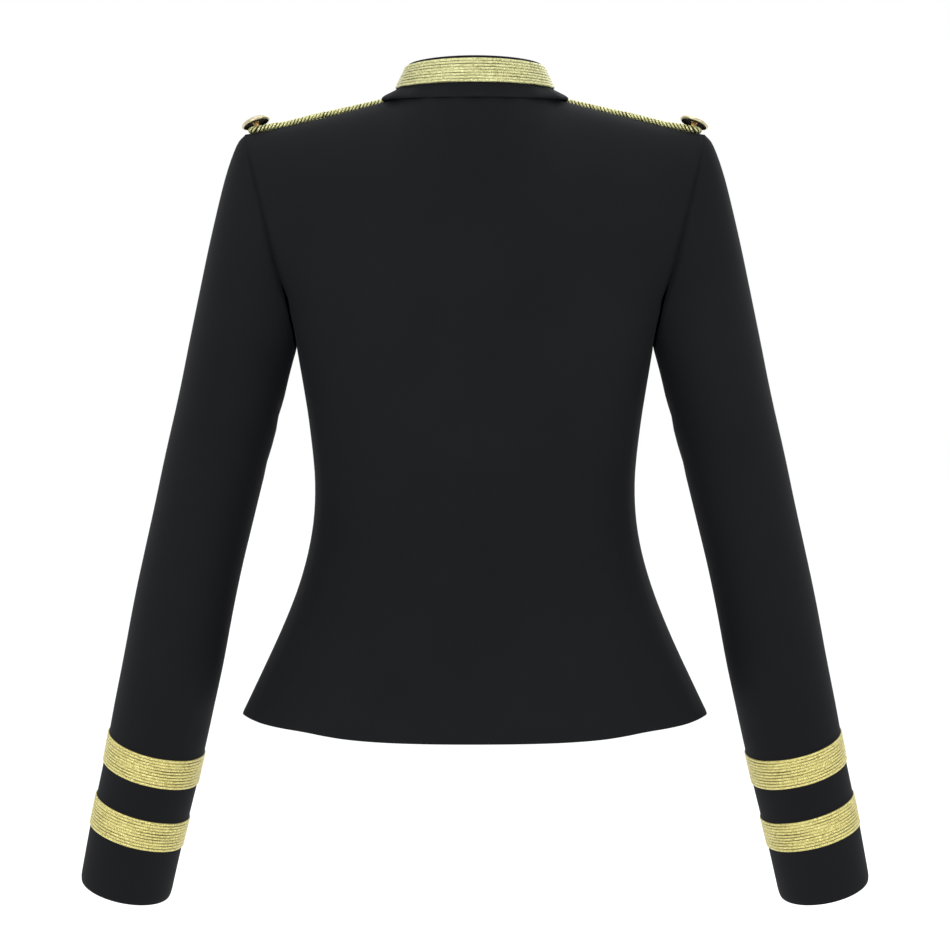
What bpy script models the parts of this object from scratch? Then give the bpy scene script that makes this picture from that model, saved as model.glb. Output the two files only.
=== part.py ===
"""A fitted stage jacket, filled out with no wearer: stand collar, set-in sleeves, gold braid.

Lengths are millimetres in this script and metres in the mesh. The front faces -Y, the
wearer's left is +X and +Z is up. The origin lies at the height of the neck points, midway
between the shoulders. All the cloth is built as thin walls inside its outer surface.
"""
from math import asin, cos, degrees, exp, pi, radians, sin, sqrt, tau

import bmesh
import bpy
import numpy as np
from mathutils import Vector
from mathutils.bvhtree import BVHTree

# Cloth and seams
WALL = 2.0
SEAM_GAP = 0.3
LAP_DEPTH = 2.5
LAP_WIDTH = 16.0
SEAT_GAP = 0.3
ARMHOLE_GAP = 0.45
SEAM_SHARE = 0.55
MITRE_FROM = 145
MITRE_SPAN = 50
LEAST_FACING = 0.6
SHADE_ANGLE = 40
FINE_STEP = 4

# Body below the chest. Columns: z, half width, depth of the back, of the front, roundness
BODY = (
    (-502, 190.0, 131, 139, 2.15),
    (-490, 185.6, 128, 136, 2.15),
    (-464, 173.6, 121, 130, 2.15),
    (-440, 162.0, 114, 124, 2.15),
    (-416, 151.2, 107, 118, 2.15),
    (-392, 142.4, 100, 112, 2.15),
    (-368, 134.4, 93, 107, 2.15),
    (-344, 129.6, 88, 103, 2.15),
    (-314, 127.2, 86, 102, 2.20),
    (-272, 130.4, 93, 111, 2.25),
    (-240, 135.4, 100, 120, 2.30),
    (-214, 139.6, 104, 123, 2.35),
    (-200, 141.6, 105, 122, 2.35),
)
BODY_ROWS = (-466, -438, -408, -378, -346, -314, -282, -248)
CHEST = -214
HEM_SIDE = -489
HEM_DIP = 11.7
HEM_POWER = 2.85

# Soft trough beside each side seam, from the hips down to the hem
TROUGH_ANGLE = 45
TROUGH_SPREAD = 11
TROUGH_DEPTH = 7.0
FLUTE_SPREAD = 13
FLUTE_DEPTH = 2.0
FLARE_TOP = -380

# Neckline of the body panels and the shoulder seam
NECK_WIDTH = 66.0
NECK_BACK = 60
NECK_FRONT = -67
NECK_POINT_Z = -0.5
NECK_BACK_Z = 1.5
NECK_DROP = 50
SHOULDER_TIP = (182.6, 0.0, -28.5)
SHOULDER_SAG = 1.0
UNDERARM_Z = -197.0

# Armhole. Columns: share of its height, distance from the middle
ARMHOLE = (
    (0.00, 142.4), (0.08, 142.8), (0.17, 146.0), (0.27, 150.7), (0.37, 156.4),
    (0.56, 164.0), (0.70, 170.2), (0.85, 176.8), (1.00, 182.6),
)
ARMHOLE_BACK = 50
ARMHOLE_FRONT = 52
ARMHOLE_EGG = 0.15
FRONT_SCOOP = 7
UNDERARM_ARC = 55

# Columns of the panels, in degrees from the middle of the back or front
BACK_ANGLES = (0, 10, 20, 29, 37, 46, 55, 63, 71, 77.5, 84, 90)
FRONT_ANGLES = (0, None, 12, 21, 30, 39, 48, 57, 65, 72, 78, 84, 90)
BACK_NECK_COLUMN = 4
FRONT_NECK_COLUMN = 5
SHOULDER_SPANS = 4
UNDERARM_SPANS = 3
ARMHOLE_ROWS = 7
UNDERARM_SHARE = 0.24
ARMHOLE_POWER = 2.2

# Neck end of the panel columns by face: lean at the middle, how fast it grows to the side,
# and how far the curve follows it at the middle, at the neck point and at the shoulder tip
NECK_SHAPE = {
    1: (25, 1.4, 0.55, 1.0, 0.85),
    -1: (12, 1.9, 0.55, 0.8, 0.8),
}

# Arm. Columns: distance from the cuff edge, x, y and z of the centre, half width, half depth
ARM = (
    (0, 284.2, -42.5, -636.5, 37.3, 40.0),
    (51, 274.0, -32, -590, 38.1, 41.5),
    (103, 261.8, -20.5, -540, 38.7, 43.5),
    (155, 250.8, -8, -490, 39.4, 45.5),
    (206, 240.0, 1.5, -441, 39.9, 47.0),
    (258, 230.0, 6, -390, 39.4, 48.0),
    (305, 219.6, 6, -344, 39.5, 49.5),
    (354, 208.6, 4, -296, 40.2, 51.5),
    (404, 197.0, 2, -248, 41.2, 53.5),
    (458, 185.4, 1, -195, 42.0, 55.5),
)
ARM_LENGTH = 458
CUFF_BANDS = ((48.5, 74.0), (103.5, 129.0))
CUFF_ROWS = (0, 22, 48.5, 74, 103.5, 129, 162, 202, 242, 280, 318, 358, 408, 458)

# Tilt of the rings round the cuff, up at the back and outside, and the dip under the arm
RING_RISE_BACK = 2.8
RING_RISE_OUT = 1.5
RING_FADE = (129, 242)
UNDERARM_DIP = 22

# Sleeve cap: its way out of the armhole low and high on it, and how far it follows its ends
CAP_ROWS = 5
CAP_ROW_POWER = 1.15
CAP_OUT = (0.22, 1.60)
CAP_SIDE = 0.22
CAP_DOWN = (0.95, 0.50)
CAP_LEAVE_PULL = (0.9, 0.28)
CAP_ARRIVE_PULL = (0.9, 0.85)
CAP_GAP_LEAN = 0.3

# Collar: a section swept round the neck. Columns: share of its height, distance outward, flare
COLLAR_TOP_WIDTH = 52.8
COLLAR_TOP_BACK = 45
COLLAR_TOP_FRONT = -66
COLLAR_TOP_SIDE_Z = 27.0
COLLAR_TOP_BACK_Z = 32.2
COLLAR_TOP_POWER = 1.3
COLLAR_TOP_DROP = 48
COLLAR_SECTION = (
    (0.00, 0.9, 0.0), (-0.02, 0.9, 6.6), (0.04, 0.9, 8.0), (0.10, 0.6, 7.0), (0.19, 0.2, 3.4),
    (0.28, 0.0, 0.0), (0.62, 0.3, 0.0), (0.96, 0.0, 0.0), (1.00, -0.4, 0.0), (1.00, -2.0, 0.0),
    (0.96, -2.4, 0.0), (0.62, -2.1, 0.0), (0.28, -2.4, 0.0), (0.00, -2.2, 0.0),
)
COLLAR_STRAIGHT = (0.28, 0.62, 0.96)
COLLAR_FULLNESS = 0.3
COLLAR_LEAST_FLARE = 0.15
COLLAR_DROP = 0.01
COLLAR_FRONT_GAP = 4.0
COLLAR_SEAT = 0.45
COLLAR_BRAID = (0.285, 0.915)

# Braid and cord
BRAID_RIBS = 7
BRAID_BASE = 0.65
RIB_HEIGHT = 0.4
CORD_RADIUS = 2.65
CORD_SIDES = 8
CORD_START = (74.9, -15.5)
CORD_END = (172.6, -3.0)
CORD_SPREAD = 5.6
CORD_STEPS = 15
CORD_TURN_STEPS = 6
CORD_SEAT = (-0.9, -0.6, -0.3, 0, 0.3, 0.6, 0.9)

# Shank button: radius and height along its axis
BUTTON_PROFILE = (
    (0.0, 5.0), (3.2, 4.8), (6.4, 4.1), (9.0, 3.0), (10.4, 2.0), (11.0, 0.9), (10.7, -0.1),
    (10.0, -0.3), (9.6, 0.6), (6.0, 1.3), (1.9, 1.3),
)
BUTTON_SIDES = 16
BUTTON_ASIDE = (0.3, 1.0, 0.1)
SHANK_RADIUS = 1.9
SHOULDER_SHANK = 7.0
SHOULDER_BUTTON_SCALE = 1.06
SHOULDER_BUTTON_AT = (172.2, -3.0)
BUTTON_LEAN_OUT = 20
BUTTON_LEAN_FRONT = 14
BUTTON_LIFT = 0.8
FRONT_SHANK = 3.0
FRONT_BUTTON_SCALE = 0.9
FRONT_BUTTON_LIFT = 0.2
FRONT_BUTTON_TOP = -78
FRONT_BUTTON_PITCH = 60
FRONT_BUTTONS = 6

# Finishes: colour, metallic, roughness
FINISHES = {
    "black_crepe": ((0.016, 0.017, 0.020, 1), 0.0, 0.75),
    "gold_braid": ((0.52, 0.46, 0.20, 1), 0.4, 0.5),
    "brass": ((0.62, 0.47, 0.22, 1), 1.0, 0.3),
}


def clear_scene():
    for item in list(bpy.data.objects):
        bpy.data.objects.remove(item)


def unit(vector):
    return vector / np.linalg.norm(vector)


def follow(rows, at):
    """Every later column of a table at a value of its first column, on a smooth curve."""
    table = np.array(rows, float)
    table = table[np.argsort(table[:, 0])]
    key = table[:, 0]
    at = min(max(at, key[0]), key[-1])
    low = int(min(max(np.searchsorted(key, at) - 1, 0), len(key) - 2))
    slopes = np.gradient(table[:, 1:], key, axis=0)
    step = key[low + 1] - key[low]
    t = (at - key[low]) / step
    start, end = table[low, 1:], table[low + 1, 1:]
    return hermite(start, slopes[low] * step, end, slopes[low + 1] * step, t)


def hermite(start, leave, end, arrive, t):
    return ((2 * t**3 - 3 * t**2 + 1) * start + (t**3 - 2 * t**2 + t) * leave
            + (3 * t**2 - 2 * t**3) * end + (t**3 - t**2) * arrive)


def between(ends, share):
    return ends[0] * (1 - share) + ends[1] * share


def bell(distance, spread):
    return exp(-(distance / spread) ** 2)


# Body surface

def flare_wave(angle, z):
    """How far the flared skirt stands out at an angle from the middle back or front."""
    if z > FLARE_TOP:
        return 0.0
    growth = ((FLARE_TOP - z) / (FLARE_TOP - HEM_SIDE)) ** 1.5
    trough = TROUGH_DEPTH * bell(angle - TROUGH_ANGLE, TROUGH_SPREAD)
    flute = FLUTE_DEPTH * bell(90 - angle, FLUTE_SPREAD)
    return growth * (flute * (angle / 90) - trough)


def ring_point(face, angle, z):
    """Point of the left half at a height: face is 1 for the back and -1 for the front."""
    width, back, front, power = follow(BODY, z)
    depth = back if face > 0 else front
    turn = radians(angle)
    out = np.array((sin(turn) ** (2 / power), face * max(cos(turn), 0) ** (2 / power)))
    point = out * (width, depth)
    flat = unit(out / (width, depth)) * (flare_wave(angle, z) if angle < 90 else 0)
    return np.array((*(point + flat), z))


def hem_height(angle):
    return HEM_SIDE - HEM_DIP * (1 - sin(radians(angle)) ** HEM_POWER)


def armhole_point(face, turn):
    """Point of the left armhole: turn is 0 at the shoulder tip and 180 under the arm."""
    lean = radians(turn)
    share = (1 + cos(lean)) / 2
    x = follow(ARMHOLE, share)[0]
    depth = ARMHOLE_BACK
    if face < 0:
        x -= FRONT_SCOOP * sin(pi * share)
        depth = ARMHOLE_FRONT
    y = face * depth * sin(lean) * (1 - ARMHOLE_EGG * cos(lean))
    return np.array((x, y, UNDERARM_Z + share * (SHOULDER_TIP[2] - UNDERARM_Z)))


def neck_point(turn):
    """Point of the left half of the neckline: turn is 0 at the back and 180 at the front."""
    angle = radians(turn)
    x = NECK_WIDTH * sin(angle)
    if turn <= 90:
        z = NECK_POINT_Z + (NECK_BACK_Z - NECK_POINT_Z) * cos(angle) ** 2
        return np.array((x, NECK_BACK * cos(angle), z))
    z = NECK_POINT_Z - NECK_DROP * cos(angle) ** 2
    return np.array((x, -NECK_FRONT * cos(angle), z))


def lap_angle(half_width, power):
    return degrees(asin((LAP_WIDTH / half_width) ** (power / 2)))


def column_angle(face, column, z):
    angle = (BACK_ANGLES if face > 0 else FRONT_ANGLES)[column]
    if angle is None:
        width, _, _, power = follow(BODY, z)
        return lap_angle(width, power)
    return angle


def neck_column(face):
    return BACK_NECK_COLUMN if face > 0 else FRONT_NECK_COLUMN


def tip_column(face):
    return neck_column(face) + SHOULDER_SPANS


def last_column(face):
    return tip_column(face) + UNDERARM_SPANS


def top_point(face, column):
    """Where a column ends, on the neckline or the shoulder seam, its lean and its pull."""
    corner = neck_column(face)
    neck_lean, power, middle_pull, neck_pull, tip_pull = NECK_SHAPE[face]
    if column >= corner:
        share = (column - corner) / SHOULDER_SPANS
        end = neck_point(90) * (1 - share) + np.array(SHOULDER_TIP) * share
        end[2] -= SHOULDER_SAG * 4 * share * (1 - share)
        return end, 90, neck_pull * (1 - share) + tip_pull * share
    blend = (column / corner) ** power
    lean = neck_lean * (1 - blend) + 90 * blend
    pull = middle_pull * (1 - blend) + neck_pull * blend
    return neck_point(neck_turn(face, column)), lean, pull


def neck_turn(face, column):
    """Turn of a panel's column on the neckline."""
    if face > 0:
        return 90 * column / BACK_NECK_COLUMN
    if column == 1:
        return 180 - degrees(asin(LAP_WIDTH / NECK_WIDTH))
    return 180 - 90 * column / FRONT_NECK_COLUMN


def free_column(face, column, share):
    """Chest to neckline or shoulder on one smooth curve."""
    angle = column_angle(face, column, CHEST)
    start = ring_point(face, angle, CHEST)
    end, lean, pull = top_point(face, column)
    slope = (ring_point(face, angle, CHEST + FINE_STEP) - ring_point(face, angle, CHEST - FINE_STEP))
    leave = slope * (end[2] - start[2]) / (2 * FINE_STEP)
    reach = np.linalg.norm(end - start) * pull
    arrive = reach * np.array((0, -face * sin(radians(lean)), cos(radians(lean))))
    return hermite(start, leave, end, arrive, share)


def armhole_column(face, share):
    """Chest up to the lower armhole, then along the armhole to the shoulder tip."""
    turn = 180 - UNDERARM_ARC
    if share <= UNDERARM_SHARE:
        low = ring_point(face, column_angle(face, tip_column(face), CHEST), CHEST)
        part = share / UNDERARM_SHARE
        return low * (1 - part) + armhole_point(face, turn) * part
    return armhole_point(face, turn * (1 - share) / (1 - UNDERARM_SHARE))


def upper_point(face, column, share):
    tip = tip_column(face)
    if column > tip:
        low = ring_point(face, column_angle(face, column, CHEST), CHEST)
        arc = UNDERARM_ARC * (last_column(face) - column) / UNDERARM_SPANS
        part = share / UNDERARM_SHARE
        return low * (1 - part) + armhole_point(face, 180 - arc) * part
    shift = armhole_column(face, share) - free_column(face, tip, share)
    weight = (column_angle(face, column, CHEST) / column_angle(face, tip, CHEST)) ** ARMHOLE_POWER
    return free_column(face, column, share) + shift * weight


def upper_shares():
    low = [UNDERARM_SHARE / 2, UNDERARM_SHARE]
    step = (1 - UNDERARM_SHARE) / ARMHOLE_ROWS
    return low + [UNDERARM_SHARE + step * (row + 1) for row in range(ARMHOLE_ROWS)]


def panel_grid(face):
    """Outer points of the left half of the back or front, keyed by column and row."""
    grid = {}
    shares = upper_shares()
    for column in range(last_column(face) + 1):
        hem_angle = column_angle(face, column, HEM_SIDE)
        grid[column, 0] = ring_point(face, hem_angle, hem_height(hem_angle))
        heights = BODY_ROWS + (CHEST,)
        for row, z in enumerate(heights, 1):
            grid[column, row] = ring_point(face, column_angle(face, column, z), z)
        for step, share in enumerate(shares):
            if column <= tip_column(face) or share <= UNDERARM_SHARE:
                grid[column, len(heights) + 1 + step] = upper_point(face, column, share)
    return grid


UNDERARM_ROW = len(BODY_ROWS) + 3
TOP_ROW = UNDERARM_ROW + ARMHOLE_ROWS


# Panels as sheets: points and faces keyed so that mirrored halves join

MIRROR = np.array((-1.0, 1.0, 1.0))
MIDDLE = np.array((0.0, 0.0, -250.0))


def sheet_from_grid(grid, face, side, points, faces):
    """Add one half of a panel: column 0 is shared by the two halves."""
    for (column, row), point in grid.items():
        points[key_of(side, column, row)] = point if side > 0 else point * MIRROR
    for column, row in grid:
        corner = [(column, row), (column + 1, row), (column + 1, row + 1), (column, row + 1)]
        if all(cell in grid for cell in corner):
            loop = [key_of(side, *cell) for cell in corner]
            faces.append(loop if side * face < 0 else loop[::-1])


def key_of(side, column, row):
    return (side if column > 0 else 0, abs(column), row)


def corner_normals(points, faces):
    """Area-weighted normals at each place, the same for every panel that meets there."""
    sums = {}
    for loop in faces:
        a, b, c, d = (points[key] for key in loop)
        normal = np.cross(c - a, d - b)
        for key in loop:
            place = tuple(np.round(points[key], 4))
            sums[place] = sums.get(place, 0) + normal
    return {place: unit(total) for place, total in sums.items()}


def normal_at(normals, point):
    return normals[tuple(np.round(point, 4))]


# Solids

def split_quad(verts, loop):
    """Two triangles on the diagonal that stands further out, so that layers match."""
    if len(loop) != 4:
        return [loop]
    a, b, c, d = loop
    first, second = (verts[a] + verts[c]) / 2, (verts[b] + verts[d]) / 2
    if np.linalg.norm(first - MIDDLE) >= np.linalg.norm(second - MIDDLE):
        return [[a, b, c], [a, c, d]]
    return [[b, c, d], [b, d, a]]


def new_object(name, verts, faces, finish):
    mesh = bpy.data.meshes.new(name)
    faces = [part for loop in faces for part in split_quad(verts, loop)]
    mesh.from_pydata([Vector(v) * 0.001 for v in verts], [], faces)
    work = bmesh.new()
    work.from_mesh(mesh)
    bmesh.ops.recalc_face_normals(work, faces=work.faces[:])
    if work.calc_volume(signed=True) < 0:
        bmesh.ops.reverse_faces(work, faces=work.faces[:])
    work.to_mesh(mesh)
    work.free()
    mesh.shade_smooth()
    mesh.set_sharp_from_angle(angle=radians(SHADE_ANGLE))
    mesh.materials.append(material(finish))
    item = bpy.data.objects.new(name, mesh)
    bpy.context.scene.collection.objects.link(item)
    return item


def material(finish):
    found = bpy.data.materials.get(finish)
    if found:
        return found
    colour, metallic, roughness = FINISHES[finish]
    made = bpy.data.materials.new(finish)
    made.use_nodes = True
    shader = made.node_tree.nodes["Principled BSDF"]
    shader.inputs["Base Color"].default_value = colour
    shader.inputs["Metallic"].default_value = metallic
    shader.inputs["Roughness"].default_value = roughness
    return made


def wall_solid(name, outer, inner, faces, finish):
    """Close a sheet of faces into a wall: outer and inner points share the face loops."""
    keys = list(outer)
    index = {key: place for place, key in enumerate(keys)}
    count = len(keys)
    verts = [outer[key] for key in keys] + [inner[key] for key in keys]
    loops = [[index[key] for key in loop] for loop in faces]
    edges = {}
    for loop in loops:
        for start, end in zip(loop, loop[1:] + loop[:1]):
            edges[start, end] = edges.get((start, end), 0) + 1
    rim = [(a, b) for a, b in edges if (b, a) not in edges]
    solid = loops + [[count + v for v in loop[::-1]] for loop in loops]
    solid += [[b, a, count + a, count + b] for a, b in rim]
    return new_object(name, verts, solid, finish)


def swept_solid(name, sections, finish, closed):
    """Join equal closed sections in order, in a ring or with an end face at each end."""
    count = len(sections[0])
    verts = [point for section in sections for point in section]
    faces = []
    spans = len(sections) if closed else len(sections) - 1
    for step in range(spans):
        near, far = step * count, (step + 1) % len(sections) * count
        for place in range(count):
            after = (place + 1) % count
            faces.append([near + place, near + after, far + after, far + place])
    if not closed:
        faces.append(list(range(count))[::-1])
        faces.append([(len(sections) - 1) * count + place for place in range(count)])
    return new_object(name, verts, faces, finish)


# Body panels

def body_sheets():
    """Points and faces of the back and of both fronts, and their shared normals."""
    back = ({}, [])
    back_grid, front_grid = panel_grid(1), panel_grid(-1)
    for side in (1, -1):
        sheet_from_grid(back_grid, 1, side, *back)
    fronts = {}
    for side in (1, -1):
        fronts[side] = ({}, [])
        sheet_from_grid(front_grid, -1, side, *fronts[side])
    every = [(back[0], back[1])] + list(fronts.values())
    points, faces = {}, []
    for number, (some_points, some_faces) in enumerate(every):
        points.update({(number, *key): point for key, point in some_points.items()})
        faces += [[(number, *key) for key in loop] for loop in some_faces]
    normals = corner_normals(points, faces)
    for side in (1, -1):
        add_lap(fronts[side], front_grid, side)
    return back, fronts, normals


def add_lap(front, grid, side):
    """Carry a front past the middle by the first column of the other half."""
    points, faces = front
    rows = [row for column, row in grid if column == 0]
    for row in rows:
        point = grid[1, row]
        points[-side, 1, row] = point * MIRROR if side > 0 else point
    for row in rows[:-1]:
        loop = [(0, 0, row), (-side, 1, row), (-side, 1, row + 1), (0, 0, row + 1)]
        faces.append(loop[::-1] if side > 0 else loop)


def seam_shrink(points, face):
    """Draw a panel back from its side seam and shoulder seam by half the seam gap."""
    moved = dict(points)
    last, corner, tip = last_column(face), neck_column(face), tip_column(face)
    for key, point in points.items():
        side, column, row = key
        beside = None
        if column == last:
            beside = points[side, column - 1, row]
        elif row == TOP_ROW and corner <= column <= tip:
            beside = points[side, column, row - 1]
        if beside is not None:
            moved[key] = point + unit(beside - point) * SEAM_GAP * SEAM_SHARE
    return moved


def armhole_lean(turn):
    """1 where sleeve and body meet in a mitre, 0 under the arm where they fold apart."""
    t = min(max((MITRE_FROM - turn) / MITRE_SPAN, 0), 1)
    return t * t * (3 - 2 * t)


def armhole_turn(face, column, row):
    """Turn of a grid point on the armhole, or None for any other point."""
    tip = tip_column(face)
    if column == tip and row >= UNDERARM_ROW:
        return (180 - UNDERARM_ARC) * (TOP_ROW - row) / ARMHOLE_ROWS
    if column > tip and row == UNDERARM_ROW:
        return 180 - UNDERARM_ARC * (last_column(face) - column) / UNDERARM_SPANS
    return None


def mitre(own, other, lean):
    """Direction and length of the inward step where two walls meet."""
    mixed = unit(own + other * lean)
    return mixed * WALL / max(float(mixed @ own), LEAST_FACING)


def panel_inner(points, moved, normals, face, depth_of):
    inner = {}
    outer = {}
    for key, point in points.items():
        side, column, row = key
        normal = normal_at(normals, point)
        inward = normal * WALL
        turn = armhole_turn(face, column, row)
        if turn is not None:
            flip = MIRROR if side < 0 else 1
            sleeve = sleeve_normal(face, turn) * flip
            inward = mitre(normal, sleeve, armhole_lean(turn))
        outer[key] = moved[key] - normal * depth_of(key)
        inner[key] = outer[key] - inward
    return outer, inner


def build_body():
    back, fronts, normals = body_sheets()
    sheets = {"back": (back, 1, lambda key: 0.0)}
    sheets["front_left"] = (fronts[1], -1, lap_depth)
    sheets["front_right"] = (fronts[-1], -1, lambda key: 0.0)
    outers = {}
    for name, ((points, faces), face, depth_of) in sheets.items():
        moved = seam_shrink(points, face)
        outer, inner = panel_inner(points, moved, normals, face, depth_of)
        wall_solid(name, outer, inner, faces, "black_crepe")
        outers[name] = (points, faces)
    return outers, normals


def lap_depth(key):
    """The left front dips under the right front's edge near the middle."""
    side, column, _ = key
    return LAP_DEPTH if column <= 1 else 0.0


# Sleeves

def arm_frame(reach):
    """Centre, outward and backward half axes and axis of the left arm at a reach."""
    row = follow(ARM, reach)
    ahead = follow(ARM, min(reach + FINE_STEP, ARM_LENGTH))[:3]
    behind = follow(ARM, max(reach - FINE_STEP, 0))[:3]
    axis = unit(ahead - behind)
    outward = unit(np.cross(np.array((0, 1, 0)), axis))
    backward = unit(np.cross(axis, outward))
    return row[:3], outward * row[3], backward * row[4], axis


def arm_point(face, turn, reach):
    centre, outward, backward, _ = arm_frame(reach)
    angle = radians(turn)
    return centre + outward * cos(angle) + backward * sin(angle) * face


def ring_reach(face, turn, reach):
    """Reach of a ring at a turn: tilted at the cuff, and lower under the arm at the top."""
    angle = radians(turn)
    if reach == ARM_LENGTH:
        return reach - UNDERARM_DIP * (1 - cos(angle)) / 2
    rise = RING_RISE_BACK * sin(angle) * face + RING_RISE_OUT * cos(angle)
    low, high = RING_FADE
    return reach + rise * max(min(reach / CUFF_BANDS[0][0], (high - reach) / (high - low), 1), 0)


def cap_leave(face, turn):
    """The way the sleeve leaves the armhole at a turn."""
    high = max(cos(radians(turn)), 0) ** 2
    side = CAP_SIDE * face * sin(radians(turn))
    return unit(np.array((between(CAP_OUT, high), side, -between(CAP_DOWN, high))))


def cap_point(face, turn, share):
    """Armhole to the first ring of the arm on one smooth curve."""
    start = armhole_point(face, turn)
    end = arm_point(face, turn, ring_reach(face, turn, ARM_LENGTH))
    chord = np.linalg.norm(end - start)
    down = arm_frame(ARM_LENGTH)[3]
    high = max(cos(radians(turn)), 0)
    leave = cap_leave(face, turn) * chord * between(CAP_LEAVE_PULL, high)
    arrive = -down * chord * between(CAP_ARRIVE_PULL, high)
    return hermite(start, leave, end, arrive, share)


def sleeve_normal(face, turn):
    """Outward normal of the left sleeve where it leaves the armhole."""
    step = FINE_STEP
    low, high = max(turn - step, 0), min(turn + step, 180)
    along = armhole_point(face, low) - armhole_point(face, high)
    if turn < step:
        along = armhole_point(1, step) - armhole_point(-1, step)
        along = along * -face
    if turn > 180 - step:
        along = armhole_point(1, 180 - step) - armhole_point(-1, 180 - step)
        along = along * face
    return unit(np.cross(cap_leave(face, turn), along) * -face)


def sleeve_turns():
    """Face and turn of each column, round from the shoulder tip by the back."""
    arc, rest = UNDERARM_ARC / UNDERARM_SPANS, (180 - UNDERARM_ARC) / ARMHOLE_ROWS
    half = [rest * step for step in range(ARMHOLE_ROWS)]
    half += [180 - UNDERARM_ARC + arc * step for step in range(UNDERARM_SPANS + 1)]
    return [(1, turn) for turn in half] + [(-1, turn) for turn in half[-2:0:-1]]


def sleeve_grid(normals):
    """Rows of outer points from the armhole to the cuff, with the gap at the armhole."""
    turns = sleeve_turns()
    rows = []
    for step in range(CAP_ROWS):
        rows.append([cap_point(face, turn, (step / CAP_ROWS) ** CAP_ROW_POWER) for face, turn in turns])
    for reach in CUFF_ROWS[::-1]:
        rows.append([arm_point(face, turn, ring_reach(face, turn, reach)) for face, turn in turns])
    body_normals = [normal_at(normals, point) for point in rows[0]]
    count = len(turns)
    for place, (face, turn) in enumerate(turns):
        ahead, behind = rows[0][(place + 1) % count], rows[0][place - 1]
        body = body_normals[place]
        across = unit(np.cross(unit(ahead - behind), body))
        across = across if across @ cap_leave(face, turn) > 0 or turn > 90 else -across
        lean = armhole_lean(turn)
        away = unit(across * lean + body * (1 - lean) + cap_leave(face, turn) * CAP_GAP_LEAN)
        rows[0][place] = rows[0][place] + away * ARMHOLE_GAP
    return turns, rows, body_normals


def tube_normals(rows):
    """Outward normals of a tube of rows that run round it."""
    grid = np.array(rows)
    around = np.roll(grid, -1, axis=1) - np.roll(grid, 1, axis=1)
    along = np.gradient(grid, axis=0)
    normals = np.cross(along, around)
    return normals / np.linalg.norm(normals, axis=2, keepdims=True)


def build_sleeve(name, side, body_normals_of):
    turns, rows, body_normals = sleeve_grid(body_normals_of)
    normals = tube_normals(rows)
    centre = np.mean(rows[-1], axis=0)
    if (normals[-1, 0] @ (rows[-1][0] - centre)) < 0:
        normals = -normals
    outer, inner = {}, {}
    count = len(turns)
    flip = MIRROR if side < 0 else 1
    for row, line in enumerate(rows):
        for place, point in enumerate(line):
            inward = normals[row, place] * WALL
            lean = armhole_lean(turns[place][1]) if row == 0 else 0
            if lean > 0:
                inward = mitre(sleeve_normal(*turns[place]), body_normals[place], lean)
            outer[row, place] = point * flip
            inner[row, place] = (point - inward) * flip
    faces = []
    for row in range(len(rows) - 1):
        for place in range(count):
            after = (place + 1) % count
            faces.append([(row, place), (row, after), (row + 1, after), (row + 1, place)])
    wall_solid(name, outer, inner, faces, "black_crepe")
    return rows, normals


def rib_profile():
    """Share of the braid's width and height of its outer points above its base."""
    steps = 2 * BRAID_RIBS
    return [(step / steps, RIB_HEIGHT * (step % 2)) for step in range(steps + 1)]


def build_cuff_braids(side, label, rows, normals):
    """Each band lies on the sleeve between two of its rows, moved out."""
    flip = MIRROR if side < 0 else 1
    for word, (low, high) in zip(("lower", "upper"), CUFF_BANDS):
        first = len(rows) - 1 - CUFF_ROWS.index(low)
        second = len(rows) - 1 - CUFF_ROWS.index(high)
        sections = []
        for place in range(len(rows[0])):
            near, far = rows[first][place], rows[second][place]
            near_out, far_out = normals[first, place], normals[second, place]
            section = []
            for share, rise in rib_profile():
                out = near_out * (1 - share) + far_out * share
                point = near * (1 - share) + far * share
                section.append((point + out * (SEAT_GAP + BRAID_BASE + rise)) * flip)
            section.append((far + far_out * SEAT_GAP) * flip)
            section.append((near + near_out * SEAT_GAP) * flip)
            sections.append(section)
        swept_solid(f"cuff_braid_{word}_{label}", sections, "gold_braid", True)


# Collar

def panel_turns():
    """Turns of the panels' columns on the left half of the neckline, from the back."""
    back = [neck_turn(1, column) for column in range(BACK_NECK_COLUMN + 1)]
    return back + [neck_turn(-1, column) for column in range(FRONT_NECK_COLUMN - 1, -1, -1)]


def collar_columns():
    """Base and top of the collar's outer line, round the back from edge to edge."""
    turns = panel_turns()
    half = []
    for low, high in zip(turns, turns[1:]):
        start, end = neck_point(low), neck_point(high)
        for part in (0, 0.5):
            turn = low + (high - low) * part
            half.append((start + (end - start) * part, collar_top(turn), turn))
    edge = COLLAR_FRONT_GAP / 2
    base = start + (end - start) * (start[0] - edge) / (start[0] - end[0])
    turn = 180 - degrees(asin(edge / COLLAR_TOP_WIDTH))
    half.append((base, collar_top(turn), 180))
    return [(-1, *column) for column in half[:0:-1]] + [(1, *column) for column in half]


def collar_top(turn):
    angle = radians(turn)
    x = COLLAR_TOP_WIDTH * sin(angle)
    if turn <= 90:
        rise = max(cos(angle), 0) ** COLLAR_TOP_POWER
        z = COLLAR_TOP_SIDE_Z + (COLLAR_TOP_BACK_Z - COLLAR_TOP_SIDE_Z) * rise
        return np.array((x, COLLAR_TOP_BACK * cos(angle), z))
    z = COLLAR_TOP_SIDE_Z - COLLAR_TOP_DROP * cos(angle) ** 2
    return np.array((x, -COLLAR_TOP_FRONT * cos(angle), z))


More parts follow.
